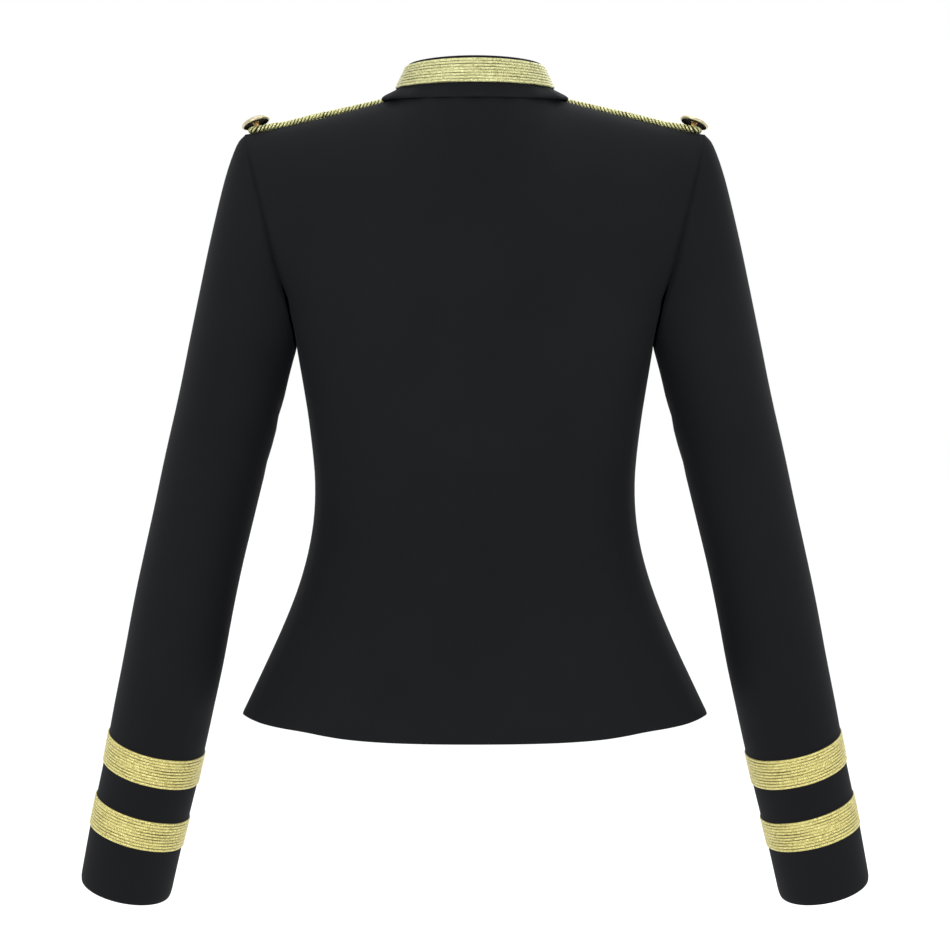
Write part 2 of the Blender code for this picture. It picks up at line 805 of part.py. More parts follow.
def collar_section(side, base, top, turn, profile):
    base = base + np.array((0, 0, COLLAR_SEAT))
    out = np.array((sin(radians(turn)), cos(radians(turn)), 0))
    flip = MIRROR if side < 0 else 1
    line = unit(top - base)
    across = unit(out - line * (out @ line))
    flare = COLLAR_LEAST_FLARE + (1 - COLLAR_LEAST_FLARE) * sin(radians(turn)) ** 2
    drop = COLLAR_DROP * cos(radians(turn)) ** 2
    return [(base + (top - base) * (share - drop * spread) + across * away + out * flare * spread)
            * flip for share, away, spread in profile]


def build_collar():
    low, high = COLLAR_BRAID
    braid = [(at, SEAT_GAP + BRAID_BASE + rise + fullness(at), 0)
             for at, rise in ((low + (high - low) * share, rise) for share, rise in rib_profile())]
    braid += [(at, SEAT_GAP + fullness(at), 0) for at in (high, COLLAR_STRAIGHT[1], low)]
    for name, profile, finish in (("collar", COLLAR_SECTION, "black_crepe"),
                                  ("collar_braid", braid, "gold_braid")):
        sections = [collar_section(*column, profile) for column in collar_columns()]
        swept_solid(name, sections, finish, False)


def fullness(at):
    """The stand is a little fuller at half its height."""
    low, middle, high = COLLAR_STRAIGHT
    half = middle - low if at < middle else high - middle
    return max(COLLAR_FULLNESS * (1 - abs(at - middle) / half), 0)


# Shoulder cords and buttons

def surface_tree(outers, names):
    verts, faces = [], []
    for name in names:
        points, loops = outers[name]
        index = {key: len(verts) + place for place, key in enumerate(points)}
        verts += [Vector(point) for point in points.values()]
        faces += [[index[key] for key in loop] for loop in loops]
    return BVHTree.FromPolygons(verts, faces)


def drop(tree, x, y):
    """Height of the cloth under a point."""
    hit, _, _, _ = tree.ray_cast(Vector((x, y, 100)), Vector((0, 0, -1)))
    return hit.z


def seat_height(tree, x, y, radius):
    """Centre height of a round cord that just clears the cloth."""
    heights = []
    for away in np.array(CORD_SEAT) * radius:
        for dx, dy in ((away, 0), (0, away)):
            heights.append(drop(tree, x + dx, y + dy) + sqrt(radius**2 - away**2))
    return max(heights) + SEAT_GAP


def cord_route():
    """Plan of the left cord: out along the shoulder, round the button, and back."""
    start, end = np.array(CORD_START), np.array(CORD_END)
    along = unit(end - start)
    across = np.array((-along[1], along[0]))
    out = [start + (end - start) * step / CORD_STEPS + across * CORD_SPREAD
           for step in range(CORD_STEPS + 1)]
    turn = []
    for step in range(1, CORD_TURN_STEPS):
        angle = pi * step / CORD_TURN_STEPS
        turn.append(end + (across * cos(angle) + along * sin(angle)) * CORD_SPREAD)
    back = [point - across * 2 * CORD_SPREAD for point in out[::-1]]
    return out + turn + back


def build_cord(name, side, tree):
    route = [np.array((x, y, seat_height(tree, x, y, CORD_RADIUS))) for x, y in cord_route()]
    flip = MIRROR if side < 0 else 1
    sections = []
    for place, point in enumerate(route):
        ahead, behind = route[min(place + 1, len(route) - 1)], route[max(place - 1, 0)]
        along = unit(ahead - behind)
        across = unit(np.cross(along, (0, 0, 1)))
        up = np.cross(across, along)
        angles = [tau * (step + 0.5) / CORD_SIDES for step in range(CORD_SIDES)]
        sections.append([(point + (across * cos(a) + up * sin(a)) * CORD_RADIUS) * flip
                         for a in angles])
    swept_solid(name, sections, "gold_braid", False)


def build_button(name, foot, axis, shank, scale):
    """A domed cap with a hollow back on a round shank, turned about its axis."""
    axis = unit(np.array(axis, float))
    first = unit(np.cross(axis, BUTTON_ASIDE))
    second = np.cross(axis, first)
    profile = [(radius * scale, height * scale + shank) for radius, height in BUTTON_PROFILE]
    profile.append((SHANK_RADIUS * scale, SEAT_GAP))
    verts = [foot + axis * profile[0][1]]
    for radius, height in profile[1:]:
        for step in range(BUTTON_SIDES):
            angle = tau * step / BUTTON_SIDES
            ring = first * cos(angle) + second * sin(angle)
            verts.append(foot + axis * height + ring * radius)
    faces = [[0, 1 + (step + 1) % BUTTON_SIDES, 1 + step] for step in range(BUTTON_SIDES)]
    for row in range(len(profile) - 2):
        near, far = 1 + row * BUTTON_SIDES, 1 + (row + 1) * BUTTON_SIDES
        for step in range(BUTTON_SIDES):
            after = (step + 1) % BUTTON_SIDES
            faces.append([near + step, near + after, far + after, far + step])
    faces.append([1 + (len(profile) - 2) * BUTTON_SIDES + step for step in range(BUTTON_SIDES)])
    new_object(name, verts, faces, "brass")


def build_shoulders(outers):
    tree = surface_tree(outers, ("back", "front_left"))
    x, y = SHOULDER_BUTTON_AT
    out, front = radians(BUTTON_LEAN_OUT), radians(BUTTON_LEAN_FRONT)
    for side, label in ((1, "left"), (-1, "right")):
        build_cord(f"shoulder_cord_{label}", side, tree)
        foot = np.array((x * side, y, drop(tree, x, y) + BUTTON_LIFT))
        axis = (sin(out) * side, -sin(front), cos(out) * cos(front))
        build_button(f"shoulder_button_{label}", foot, axis, SHOULDER_SHANK, SHOULDER_BUTTON_SCALE)


def build_front_buttons(outers):
    tree = surface_tree(outers, ("front_right",))
    for number in range(FRONT_BUTTONS):
        z = FRONT_BUTTON_TOP - FRONT_BUTTON_PITCH * number
        hit, normal, _, _ = tree.ray_cast(Vector((-0.01, -300, z)), Vector((0, 1, 0)))
        normal = np.array(normal) * (1 if normal.y < 0 else -1)
        foot = np.array((0, hit.y, z)) + normal * FRONT_BUTTON_LIFT
        build_button(f"front_button_{number + 1}", foot, normal, FRONT_SHANK, FRONT_BUTTON_SCALE)


def build_jacket():
    clear_scene()
    outers, normals = build_body()
    for side, label in ((1, "left"), (-1, "right")):
        rows, row_normals = build_sleeve(f"sleeve_{label}", side, normals)
        build_cuff_braids(side, label, rows, row_normals)
    build_collar()
    build_shoulders(outers)
    build_front_buttons(outers)


build_jacket()
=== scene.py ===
"""A fitted stage jacket dressed over its solids: black crepe, ribbed and twisted gold braid, buttons.

Lengths are millimetres until a mesh is made. The front faces -Y, the wearer's left is +X and
+Z is up. The first part repeats the shape of the solids, and the second lays finer cloth on it.
"""
from math import asin, cos, degrees, exp, pi, radians, sin, sqrt, tau

import bpy
import numpy as np
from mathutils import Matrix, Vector, noise
from mathutils.bvhtree import BVHTree


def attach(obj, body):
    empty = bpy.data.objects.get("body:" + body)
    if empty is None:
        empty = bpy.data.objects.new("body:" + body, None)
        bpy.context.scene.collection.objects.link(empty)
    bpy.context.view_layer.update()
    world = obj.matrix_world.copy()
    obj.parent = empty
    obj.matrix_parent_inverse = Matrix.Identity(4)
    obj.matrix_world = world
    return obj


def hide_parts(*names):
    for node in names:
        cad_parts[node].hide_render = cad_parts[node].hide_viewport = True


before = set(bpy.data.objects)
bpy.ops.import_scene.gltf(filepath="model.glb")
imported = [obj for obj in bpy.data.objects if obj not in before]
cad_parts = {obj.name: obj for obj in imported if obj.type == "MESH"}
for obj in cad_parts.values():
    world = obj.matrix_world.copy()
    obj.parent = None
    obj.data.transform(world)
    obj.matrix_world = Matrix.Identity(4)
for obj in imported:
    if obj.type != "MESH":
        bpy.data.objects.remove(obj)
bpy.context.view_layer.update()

# Cloth and seams
LAP_DEPTH = 2.5
LAP_WIDTH = 16.0
SEAT_GAP = 0.3
ARMHOLE_GAP = 0.45
MITRE_FROM = 145
MITRE_SPAN = 50
LEAST_FACING = 0.6
FINE_STEP = 4

# Body below the chest. Columns: z, half width, depth of the back, of the front, roundness
BODY = (
    (-502, 190.0, 131, 139, 2.15),
    (-490, 185.6, 128, 136, 2.15),
    (-464, 173.6, 121, 130, 2.15),
    (-440, 162.0, 114, 124, 2.15),
    (-416, 151.2, 107, 118, 2.15),
    (-392, 142.4, 100, 112, 2.15),
    (-368, 134.4, 93, 107, 2.15),
    (-344, 129.6, 88, 103, 2.15),
    (-314, 127.2, 86, 102, 2.20),
    (-272, 130.4, 93, 111, 2.25),
    (-240, 135.4, 100, 120, 2.30),
    (-214, 139.6, 104, 123, 2.35),
    (-200, 141.6, 105, 122, 2.35),
)
BODY_ROWS = (-466, -438, -408, -378, -346, -314, -282, -248)
CHEST = -214
HEM_SIDE = -489
HEM_DIP = 11.7
HEM_POWER = 2.85

# Soft trough beside each side seam, from the hips down to the hem
TROUGH_ANGLE = 45
TROUGH_SPREAD = 11
TROUGH_DEPTH = 7.0
FLUTE_SPREAD = 13
FLUTE_DEPTH = 2.0
FLARE_TOP = -380
FLARE_POWER = 1.5

# Neckline of the body panels and the shoulder seam
NECK_WIDTH = 66.0
NECK_BACK = 60
NECK_FRONT = -67
NECK_POINT_Z = -0.5
NECK_BACK_Z = 1.5
NECK_POWER = 2
NECK_DROP = 50
SHOULDER_TIP = (182.6, 0.0, -28.5)
SHOULDER_SAG = 1.0
UNDERARM_Z = -197.0

# Armhole. Columns: share of its height, distance from the middle
ARMHOLE = (
    (0.00, 142.4), (0.08, 142.8), (0.17, 146.0), (0.27, 150.7), (0.37, 156.4),
    (0.56, 164.0), (0.70, 170.2), (0.85, 176.8), (1.00, 182.6),
)
ARMHOLE_BACK = 50
ARMHOLE_FRONT = 52
ARMHOLE_EGG = 0.15
FRONT_SCOOP = 7
UNDERARM_ARC = 55

# Columns of each panel, in degrees from its middle, with None at the lap, and its column at the
# neck point. A face is 1 for the back and -1 for the front
ANGLES = {
    1: (0, 10, 20, 29, 37, 46, 55, 63, 71, 77.5, 84, 90),
    -1: (0, None, 12, 21, 30, 39, 48, 57, 65, 72, 78, 84, 90),
}
NECK_COLUMN = {1: 4, -1: 5}
SHOULDER_SPANS = 4
UNDERARM_SPANS = 3
TIP_COLUMN = {face: column + SHOULDER_SPANS for face, column in NECK_COLUMN.items()}
LAST_COLUMN = {face: column + UNDERARM_SPANS for face, column in TIP_COLUMN.items()}
ARMHOLE_ROWS = 7
UNDERARM_SHARE = 0.24
ARMHOLE_POWER = 2.2

# Neck end of the panel columns by face: lean at the middle, how fast it grows to the side,
# and how far the curve follows it at the middle, at the neck point and at the shoulder tip
NECK_SHAPE = {
    1: (25, 1.4, 0.55, 1.0, 0.85),
    -1: (12, 1.9, 0.55, 0.8, 0.8),
}

# Arm. Columns: distance from the cuff edge, x, y and z of the centre, half width, half depth
ARM = (
    (0, 284.2, -42.5, -636.5, 37.3, 40.0),
    (51, 274.0, -32, -590, 38.1, 41.5),
    (103, 261.8, -20.5, -540, 38.7, 43.5),
    (155, 250.8, -8, -490, 39.4, 45.5),
    (206, 240.0, 1.5, -441, 39.9, 47.0),
    (258, 230.0, 6, -390, 39.4, 48.0),
    (305, 219.6, 6, -344, 39.5, 49.5),
    (354, 208.6, 4, -296, 40.2, 51.5),
    (404, 197.0, 2, -248, 41.2, 53.5),
    (458, 185.4, 1, -195, 42.0, 55.5),
)
ARM_LENGTH = 458
CUFF_BANDS = ((48.5, 74.0), (103.5, 129.0))
CUFF_ROWS = (0, 22, 48.5, 74, 103.5, 129, 162, 202, 242, 280, 318, 358, 408, 458)

# Tilt of the rings round the cuff, up at the back and outside, and the dip under the arm
RING_RISE_BACK = 2.8
RING_RISE_OUT = 1.5
RING_FADE = (129, 242)
UNDERARM_DIP = 22

# Sleeve cap: its way out of the armhole low and high on it, and how far it follows its ends
CAP_ROWS = 5
CAP_ROW_POWER = 1.15
CAP_OUT = (0.22, 1.60)
CAP_SIDE = 0.22
CAP_DOWN = (0.95, 0.50)
CAP_LEAVE_PULL = (0.9, 0.28)
CAP_ARRIVE_PULL = (0.9, 0.85)
CAP_GAP_LEAN = 0.3

# Collar: a section swept round the neck. Columns: share of its height, distance outward, flare
COLLAR_TOP_WIDTH = 52.8
COLLAR_TOP_BACK = 45
COLLAR_TOP_FRONT = -66
COLLAR_TOP_SIDE_Z = 27.0
COLLAR_TOP_BACK_Z = 32.2
COLLAR_TOP_POWER = 1.3
COLLAR_TOP_DROP = 48
COLLAR_SECTION = (
    (0.00, 0.9, 0.0), (-0.02, 0.9, 6.6), (0.04, 0.9, 8.0), (0.10, 0.6, 7.0), (0.19, 0.2, 3.4),
    (0.28, 0.0, 0.0), (0.62, 0.3, 0.0), (0.96, 0.0, 0.0), (1.00, -0.4, 0.0), (1.00, -2.0, 0.0),
    (0.96, -2.4, 0.0), (0.62, -2.1, 0.0), (0.28, -2.4, 0.0), (0.00, -2.2, 0.0),
)
COLLAR_FULLNESS = 0.3
COLLAR_DROP = 0.01
COLLAR_FLARE_POWER = 4
COLLAR_FRONT_GAP = 4.0
COLLAR_SEAT = 0.45
COLLAR_BRAID = (0.285, 0.915)

# Shoulder cord, whose ends lie under the collar's flare
CORD_RADIUS = 2.65
CORD_START = (69.5, -16.2)
CORD_END = (172.6, -3.0)
CORD_SPREAD = 5.6
CORD_STEPS = 15
CORD_TURN_STEPS = 6
CORD_SEAT = (-0.9, -0.6, -0.3, 0, 0.3, 0.6, 0.9)

# Shank button: radius and height along its axis
BUTTON_PROFILE = (
    (0.0, 5.0), (3.2, 4.8), (6.4, 4.1), (9.0, 3.0), (10.4, 2.0), (11.0, 0.9), (10.7, -0.1),
    (10.0, -0.3), (9.6, 0.6), (6.0, 1.3), (1.9, 1.3),
)
BUTTON_ASIDE = (0.3, 1.0, 0.1)
SHANK_RADIUS = 1.9
SHOULDER_SHANK = 7.0
SHOULDER_BUTTON_SCALE = 1.06
SHOULDER_BUTTON_AT = (172.2, -3.0)
BUTTON_LEAN_OUT = 20
BUTTON_LEAN_FRONT = 14
BUTTON_LIFT = 0.8
FRONT_SHANK = 3.0
FRONT_BUTTON_SCALE = 0.9
FRONT_BUTTON_LIFT = 0.2
FRONT_BUTTON_TOP = -78
FRONT_BUTTON_PITCH = 60
FRONT_BUTTONS = 6

# Rows of a panel at the underarm, three above those of the body, and at the shoulder
UNDERARM_ROW = len(BODY_ROWS) + 3
TOP_ROW = UNDERARM_ROW + ARMHOLE_ROWS


# Shape of the jacket, as in its solids but for the collar's flare and the cords' ends

def unit(vector):
    """A vector, or every last row of an array, at length 1."""
    return vector / np.linalg.norm(vector, axis=-1, keepdims=True)


def follow(rows, at):
    """Every later column of a table at a value of its first column, on a smooth curve."""
    table = np.array(rows, float)
    table = table[np.argsort(table[:, 0])]
    key = table[:, 0]
    at = min(max(at, key[0]), key[-1])
    low = int(min(max(np.searchsorted(key, at) - 1, 0), len(key) - 2))
    slopes = np.gradient(table[:, 1:], key, axis=0)
    step = key[low + 1] - key[low]
    t = (at - key[low]) / step
    start, end = table[low, 1:], table[low + 1, 1:]
    return hermite(start, slopes[low] * step, end, slopes[low + 1] * step, t)


def hermite(start, leave, end, arrive, t):
    return ((2 * t**3 - 3 * t**2 + 1) * start + (t**3 - 2 * t**2 + t) * leave
            + (3 * t**2 - 2 * t**3) * end + (t**3 - t**2) * arrive)


def between(ends, share):
    return ends[0] * (1 - share) + ends[1] * share


def bell(distance, spread):
    return exp(-(distance / spread) ** 2)


def flare_wave(angle, z):
    """How far the flared skirt stands out at an angle from the middle back or front."""
    if z > FLARE_TOP:
        return 0.0
    growth = ((FLARE_TOP - z) / (FLARE_TOP - HEM_SIDE)) ** FLARE_POWER
    trough = TROUGH_DEPTH * bell(angle - TROUGH_ANGLE, TROUGH_SPREAD)
    flute = FLUTE_DEPTH * bell(90 - angle, FLUTE_SPREAD)
    return growth * (flute * (angle / 90) - trough)


def ring_point(face, angle, z):
    """Point of the left half at a height: face is 1 for the back and -1 for the front."""
    width, back, front, power = follow(BODY, z)
    depth = back if face > 0 else front
    turn = radians(angle)
    out = np.array((sin(turn) ** (2 / power), face * max(cos(turn), 0) ** (2 / power)))
    point = out * (width, depth)
    flat = unit(out / (width, depth)) * (flare_wave(angle, z) if angle < 90 else 0)
    return np.array((*(point + flat), z))


def hem_height(angle):
    return HEM_SIDE - HEM_DIP * (1 - sin(radians(angle)) ** HEM_POWER)


def armhole_point(face, turn):
    """Point of the left armhole: turn is 0 at the shoulder tip and 180 under the arm."""
    lean = radians(turn)
    share = (1 + cos(lean)) / 2
    x = follow(ARMHOLE, share)[0]
    depth = ARMHOLE_BACK
    if face < 0:
        x -= FRONT_SCOOP * sin(pi * share)
        depth = ARMHOLE_FRONT
    y = face * depth * sin(lean) * (1 - ARMHOLE_EGG * cos(lean))
    return np.array((x, y, UNDERARM_Z + share * (SHOULDER_TIP[2] - UNDERARM_Z)))


def half_ring(turn, width, back, front, side_z, back_z, power, drop):
    """Point of the left half of a ring: turn is 0 at the back and 180 at the front."""
    ahead = cos(radians(turn))
    depth, lift = -front, -drop * ahead ** 2
    if turn <= 90:
        depth, lift = back, (back_z - side_z) * max(ahead, 0) ** power
    return np.array((width * sin(radians(turn)), depth * ahead, side_z + lift))


def neck_point(turn):
    return half_ring(turn, NECK_WIDTH, NECK_BACK, NECK_FRONT, NECK_POINT_Z, NECK_BACK_Z,
                     NECK_POWER, NECK_DROP)


def column_angle(face, column, z):
    angle = ANGLES[face][column]
    if angle is None:
        width, _, _, power = follow(BODY, z)
        return degrees(asin((LAP_WIDTH / width) ** (power / 2)))
    return angle


def top_point(face, column):
    """Where a column ends, on the neckline or the shoulder seam, its lean and its pull."""
    corner = NECK_COLUMN[face]
    neck_lean, power, middle_pull, neck_pull, tip_pull = NECK_SHAPE[face]
    if column >= corner:
        share = (column - corner) / SHOULDER_SPANS
        end = between((neck_point(90), np.array(SHOULDER_TIP)), share)
        end[2] -= SHOULDER_SAG * 4 * share * (1 - share)
        return end, 90, between((neck_pull, tip_pull), share)
    blend = (column / corner) ** power
    end = neck_point(neck_turn(face, column))
    return end, between((neck_lean, 90), blend), between((middle_pull, neck_pull), blend)


def neck_turn(face, column):
    """Turn of a panel's column on the neckline."""
    if face > 0:
        return 90 * column / NECK_COLUMN[1]
    if column == 1:
        return 180 - degrees(asin(LAP_WIDTH / NECK_WIDTH))
    return 180 - 90 * column / NECK_COLUMN[-1]


def free_column(face, column, share):
    """Chest to neckline or shoulder on one smooth curve."""
    angle = column_angle(face, column, CHEST)
    start = ring_point(face, angle, CHEST)
    end, lean, pull = top_point(face, column)
    slope = (ring_point(face, angle, CHEST + FINE_STEP) - ring_point(face, angle, CHEST - FINE_STEP))
    leave = slope * (end[2] - start[2]) / (2 * FINE_STEP)
    reach = np.linalg.norm(end - start) * pull
    arrive = reach * np.array((0, -face * sin(radians(lean)), cos(radians(lean))))
    return hermite(start, leave, end, arrive, share)


def body_point(face, column, z):
    return ring_point(face, column_angle(face, column, z), z)


def under_turn(face, column):
    """Turn on the armhole under the arm where a column ends."""
    return 180 - UNDERARM_ARC * (LAST_COLUMN[face] - column) / UNDERARM_SPANS


def low_point(face, column, share):
    """Chest up to the armhole under the arm."""
    ends = body_point(face, column, CHEST), armhole_point(face, under_turn(face, column))
    return between(ends, share / UNDERARM_SHARE)


def armhole_column(face, share):
    """Chest up to the lower armhole, then along the armhole to the shoulder tip."""
    if share <= UNDERARM_SHARE:
        return low_point(face, TIP_COLUMN[face], share)
    return armhole_point(face, (180 - UNDERARM_ARC) * (1 - share) / (1 - UNDERARM_SHARE))


def upper_point(face, column, share):
    tip = TIP_COLUMN[face]
    if column > tip:
        return low_point(face, column, share)
    shift = armhole_column(face, share) - free_column(face, tip, share)
    weight = (column_angle(face, column, CHEST) / column_angle(face, tip, CHEST)) ** ARMHOLE_POWER
    return free_column(face, column, share) + shift * weight


def upper_shares():
    low = [UNDERARM_SHARE / 2, UNDERARM_SHARE]
    step = (1 - UNDERARM_SHARE) / ARMHOLE_ROWS
    return low + [UNDERARM_SHARE + step * (row + 1) for row in range(ARMHOLE_ROWS)]


def panel_grid(face):
    """Outer points of the left half of the back or front, keyed by column and row."""
    grid = {}
    shares = upper_shares()
    for column in range(LAST_COLUMN[face] + 1):
        hem_angle = column_angle(face, column, HEM_SIDE)
        grid[column, 0] = ring_point(face, hem_angle, hem_height(hem_angle))
        heights = BODY_ROWS + (CHEST,)
        for row, z in enumerate(heights, 1):
            grid[column, row] = body_point(face, column, z)
        for step, share in enumerate(shares):
            if column <= TIP_COLUMN[face] or share <= UNDERARM_SHARE:
                grid[column, len(heights) + 1 + step] = upper_point(face, column, share)
    return grid


def armhole_lean(turn):
    """1 where sleeve and body meet in a mitre, 0 under the arm where they fold apart."""
    t = min(max((MITRE_FROM - turn) / MITRE_SPAN, 0), 1)
    return t * t * (3 - 2 * t)


def armhole_turn(face, column, row):
    """Turn of a grid point on the armhole, or None for any other point."""
    tip = TIP_COLUMN[face]
    if column == tip and row >= UNDERARM_ROW:
        return (180 - UNDERARM_ARC) * (TOP_ROW - row) / ARMHOLE_ROWS
    if column > tip and row == UNDERARM_ROW:
        return under_turn(face, column)
    return None


def mitre(own, other, lean):
    """Direction and length of the inward step where two walls meet."""
    mixed = unit(own + other * lean)
    return mixed / max(float(mixed @ own), LEAST_FACING)


def arm_frame(reach):
    """Centre, outward and backward half axes and axis of the left arm at a reach."""
    row = follow(ARM, reach)
    ahead = follow(ARM, min(reach + FINE_STEP, ARM_LENGTH))[:3]
    behind = follow(ARM, max(reach - FINE_STEP, 0))[:3]
    axis = unit(ahead - behind)
    outward = unit(np.cross(np.array((0, 1, 0)), axis))
    backward = unit(np.cross(axis, outward))
    return row[:3], outward * row[3], backward * row[4], axis


def arm_point(face, turn, reach):
    centre, outward, backward, _ = arm_frame(reach)
    angle = radians(turn)
    return centre + outward * cos(angle) + backward * sin(angle) * face


def ring_reach(face, turn, reach):
    """Reach of a ring at a turn: tilted at the cuff, and lower under the arm at the top."""
    angle = radians(turn)
    if reach == ARM_LENGTH:
        return reach - UNDERARM_DIP * (1 - cos(angle)) / 2
    rise = RING_RISE_BACK * sin(angle) * face + RING_RISE_OUT * cos(angle)
    low, high = RING_FADE
    return reach + rise * max(min(reach / CUFF_BANDS[0][0], (high - reach) / (high - low), 1), 0)


def cap_leave(face, turn):
    """The way the sleeve leaves the armhole at a turn."""
    high = max(cos(radians(turn)), 0) ** 2
    side = CAP_SIDE * face * sin(radians(turn))
    return unit(np.array((between(CAP_OUT, high), side, -between(CAP_DOWN, high))))


def cap_point(face, turn, share):
    """Armhole to the first ring of the arm on one smooth curve."""
    start = armhole_point(face, turn)
    end = arm_point(face, turn, ring_reach(face, turn, ARM_LENGTH))
    chord = np.linalg.norm(end - start)
    down = arm_frame(ARM_LENGTH)[3]
    high = max(cos(radians(turn)), 0)
    leave = cap_leave(face, turn) * chord * between(CAP_LEAVE_PULL, high)
    arrive = -down * chord * between(CAP_ARRIVE_PULL, high)
    return hermite(start, leave, end, arrive, share)


def armhole_round(face, turn):
    """Armhole point at a turn that may pass the shoulder tip or the underarm."""
    if turn < 0:
        return armhole_point(-face, -turn)
    if turn > 180:
        return armhole_point(-face, 360 - turn)
    return armhole_point(face, turn)


def sleeve_normal(face, turn):
    """Outward normal of the left sleeve where it leaves the armhole."""
    along = armhole_round(face, turn - FINE_STEP) - armhole_round(face, turn + FINE_STEP)
    return unit(np.cross(cap_leave(face, turn), along) * -face)


def sleeve_turns():
    """Face and turn of each column, round from the shoulder tip by the back."""
    arc, rest = UNDERARM_ARC / UNDERARM_SPANS, (180 - UNDERARM_ARC) / ARMHOLE_ROWS
    half = [rest * step for step in range(ARMHOLE_ROWS)]
    half += [180 - UNDERARM_ARC + arc * step for step in range(UNDERARM_SPANS + 1)]
    return [(1, turn) for turn in half] + [(-1, turn) for turn in half[-2:0:-1]]


def sleeve_grid(normals):
    """Rows of outer points from the armhole to the cuff, with the gap at the armhole."""
    turns = sleeve_turns()
    rows = []
    for step in range(CAP_ROWS):
        rows.append([cap_point(face, turn, (step / CAP_ROWS) ** CAP_ROW_POWER) for face, turn in turns])
    for reach in CUFF_ROWS[::-1]:
        rows.append([arm_point(face, turn, ring_reach(face, turn, reach)) for face, turn in turns])
    body_normals = [normal_at(normals, point) for point in rows[0]]
    count = len(turns)
    for place, (face, turn) in enumerate(turns):
        ahead, behind = rows[0][(place + 1) % count], rows[0][place - 1]
        body = body_normals[place]
        across = unit(np.cross(unit(ahead - behind), body))
        across = across if across @ cap_leave(face, turn) > 0 or turn > 90 else -across
        lean = armhole_lean(turn)
        away = unit(across * lean + body * (1 - lean) + cap_leave(face, turn) * CAP_GAP_LEAN)
        rows[0][place] = rows[0][place] + away * ARMHOLE_GAP
    return turns, rows, body_normals


def tube_normals(rows):
    """Outward normals of a tube of rows that run round it."""
    grid = np.array(rows)
    around = np.roll(grid, -1, axis=1) - np.roll(grid, 1, axis=1)
    return unit(np.cross(np.gradient(grid, axis=0), around))


def panel_turns():
    """Turns of the panels' columns on the left half of the neckline, from the back."""
    back = [neck_turn(1, column) for column in range(NECK_COLUMN[1] + 1)]
    return back + [neck_turn(-1, column) for column in range(NECK_COLUMN[-1] - 1, -1, -1)]


def collar_columns():
    """Base and top of the collar's outer line, round the back from edge to edge."""
    turns = panel_turns()
    half = []
    for low, high in zip(turns, turns[1:]):
        start, end = neck_point(low), neck_point(high)
        for part in (0, 0.5):
            turn = low + (high - low) * part
            half.append((start + (end - start) * part, collar_top(turn), turn))
    edge = COLLAR_FRONT_GAP / 2
    base = start + (end - start) * (start[0] - edge) / (start[0] - end[0])
    turn = 180 - degrees(asin(edge / COLLAR_TOP_WIDTH))
    half.append((base, collar_top(turn), 180))
    return [(-1, *column) for column in half[:0:-1]] + [(1, *column) for column in half]


def collar_top(turn):
    return half_ring(turn, COLLAR_TOP_WIDTH, COLLAR_TOP_BACK, COLLAR_TOP_FRONT, COLLAR_TOP_SIDE_Z,
                     COLLAR_TOP_BACK_Z, COLLAR_TOP_POWER, COLLAR_TOP_DROP)


def collar_section(side, base, top, turn, profile):
    base = base + np.array((0, 0, COLLAR_SEAT))
    out = np.array((sin(radians(turn)), cos(radians(turn)), 0))
    line = unit(top - base)
    across = unit(out - line * (out @ line))
    flare = sin(radians(turn)) ** COLLAR_FLARE_POWER
    drop = COLLAR_DROP * cos(radians(turn)) ** 2
    return [(base + (top - base) * (share - drop * spread) + across * away + out * flare * spread)
            * (side, 1, 1) for share, away, spread in profile]


def cord_route():
    """Plan of the left cord: out along the shoulder, round the button, and back."""
    start, end = np.array(CORD_START), np.array(CORD_END)
    along = unit(end - start)
    across = np.array((-along[1], along[0]))
    out = [start + (end - start) * step / CORD_STEPS + across * CORD_SPREAD
           for step in range(CORD_STEPS + 1)]
    turn = []
    for step in range(1, CORD_TURN_STEPS):
        angle = pi * step / CORD_TURN_STEPS
        turn.append(end + (across * cos(angle) + along * sin(angle)) * CORD_SPREAD)
    back = [point - across * 2 * CORD_SPREAD for point in out[::-1]]
    return out + turn + back


# Fine cloth: its thickness, points between the coarse ones, and how far its edges roll in
CLOTH = 1.5
STEPS = 4
NEAR_SEAM = (0.035, 0.1)
SEAM_ROLL = 2.3
FREE_ROLL = 0.6
EDGE_WIDTH = 1.8
FREE_ABOVE = 25
TIP_CLEAR = 35
NECK_CLEAR = (1, 4)
CHUNK = 2000
RIM_ANGLES = (45, 90, 135)
UNEVEN_HEIGHT = 0.45
UNEVEN_SIZE = 70.0
SMOOTH_ROUNDS = 10
BIAS = 0.6
MM = 0.001

# Cloth without creases beside the centre front and below these reaches of a sleeve
CALM_FRONT = 12
CALM_CUFF = (130, 160)

# Sleeve: width and depth of its seam's groove, length of its cap, and a row to test its facing
SLEEVE_SEAM = (1.1, 0.55)
CAP_LENGTH = 150
FACING_ROW = 40

# Creases of the back, mirrored. Columns: from x, z to x, z, bow, width, depth
BACK_CREASES = (
    (118, -205, 128, -262, 5, 9, 0.9),
    (96, -150, 104, -222, -4, 14, 0.8),
    (124, -300, 88, -318, 4, 10, 0.8),
    (122, -338, 92, -330, -5, 9, 0.7),
    (104, -352, 128, -452, 6, 13, 1.2),
    (58, -430, 66, -500, 3, 16, 0.9),
)
FRONT_CREASES = (
    (116, -200, 96, -176, 6, 9, 1.1),
    (122, -252, 84, -214, 7, 11, 1.2),
    (124, -296, 92, -306, 4, 9, 0.9),
    (122, -334, 86, -326, -5, 9, 0.8),
    (100, -352, 124, -450, 5, 13, 1.2),
    (50, -420, 60, -496, 3, 15, 1.0),
    (30, -300, 48, -308, 2, 9, 0.5),
)
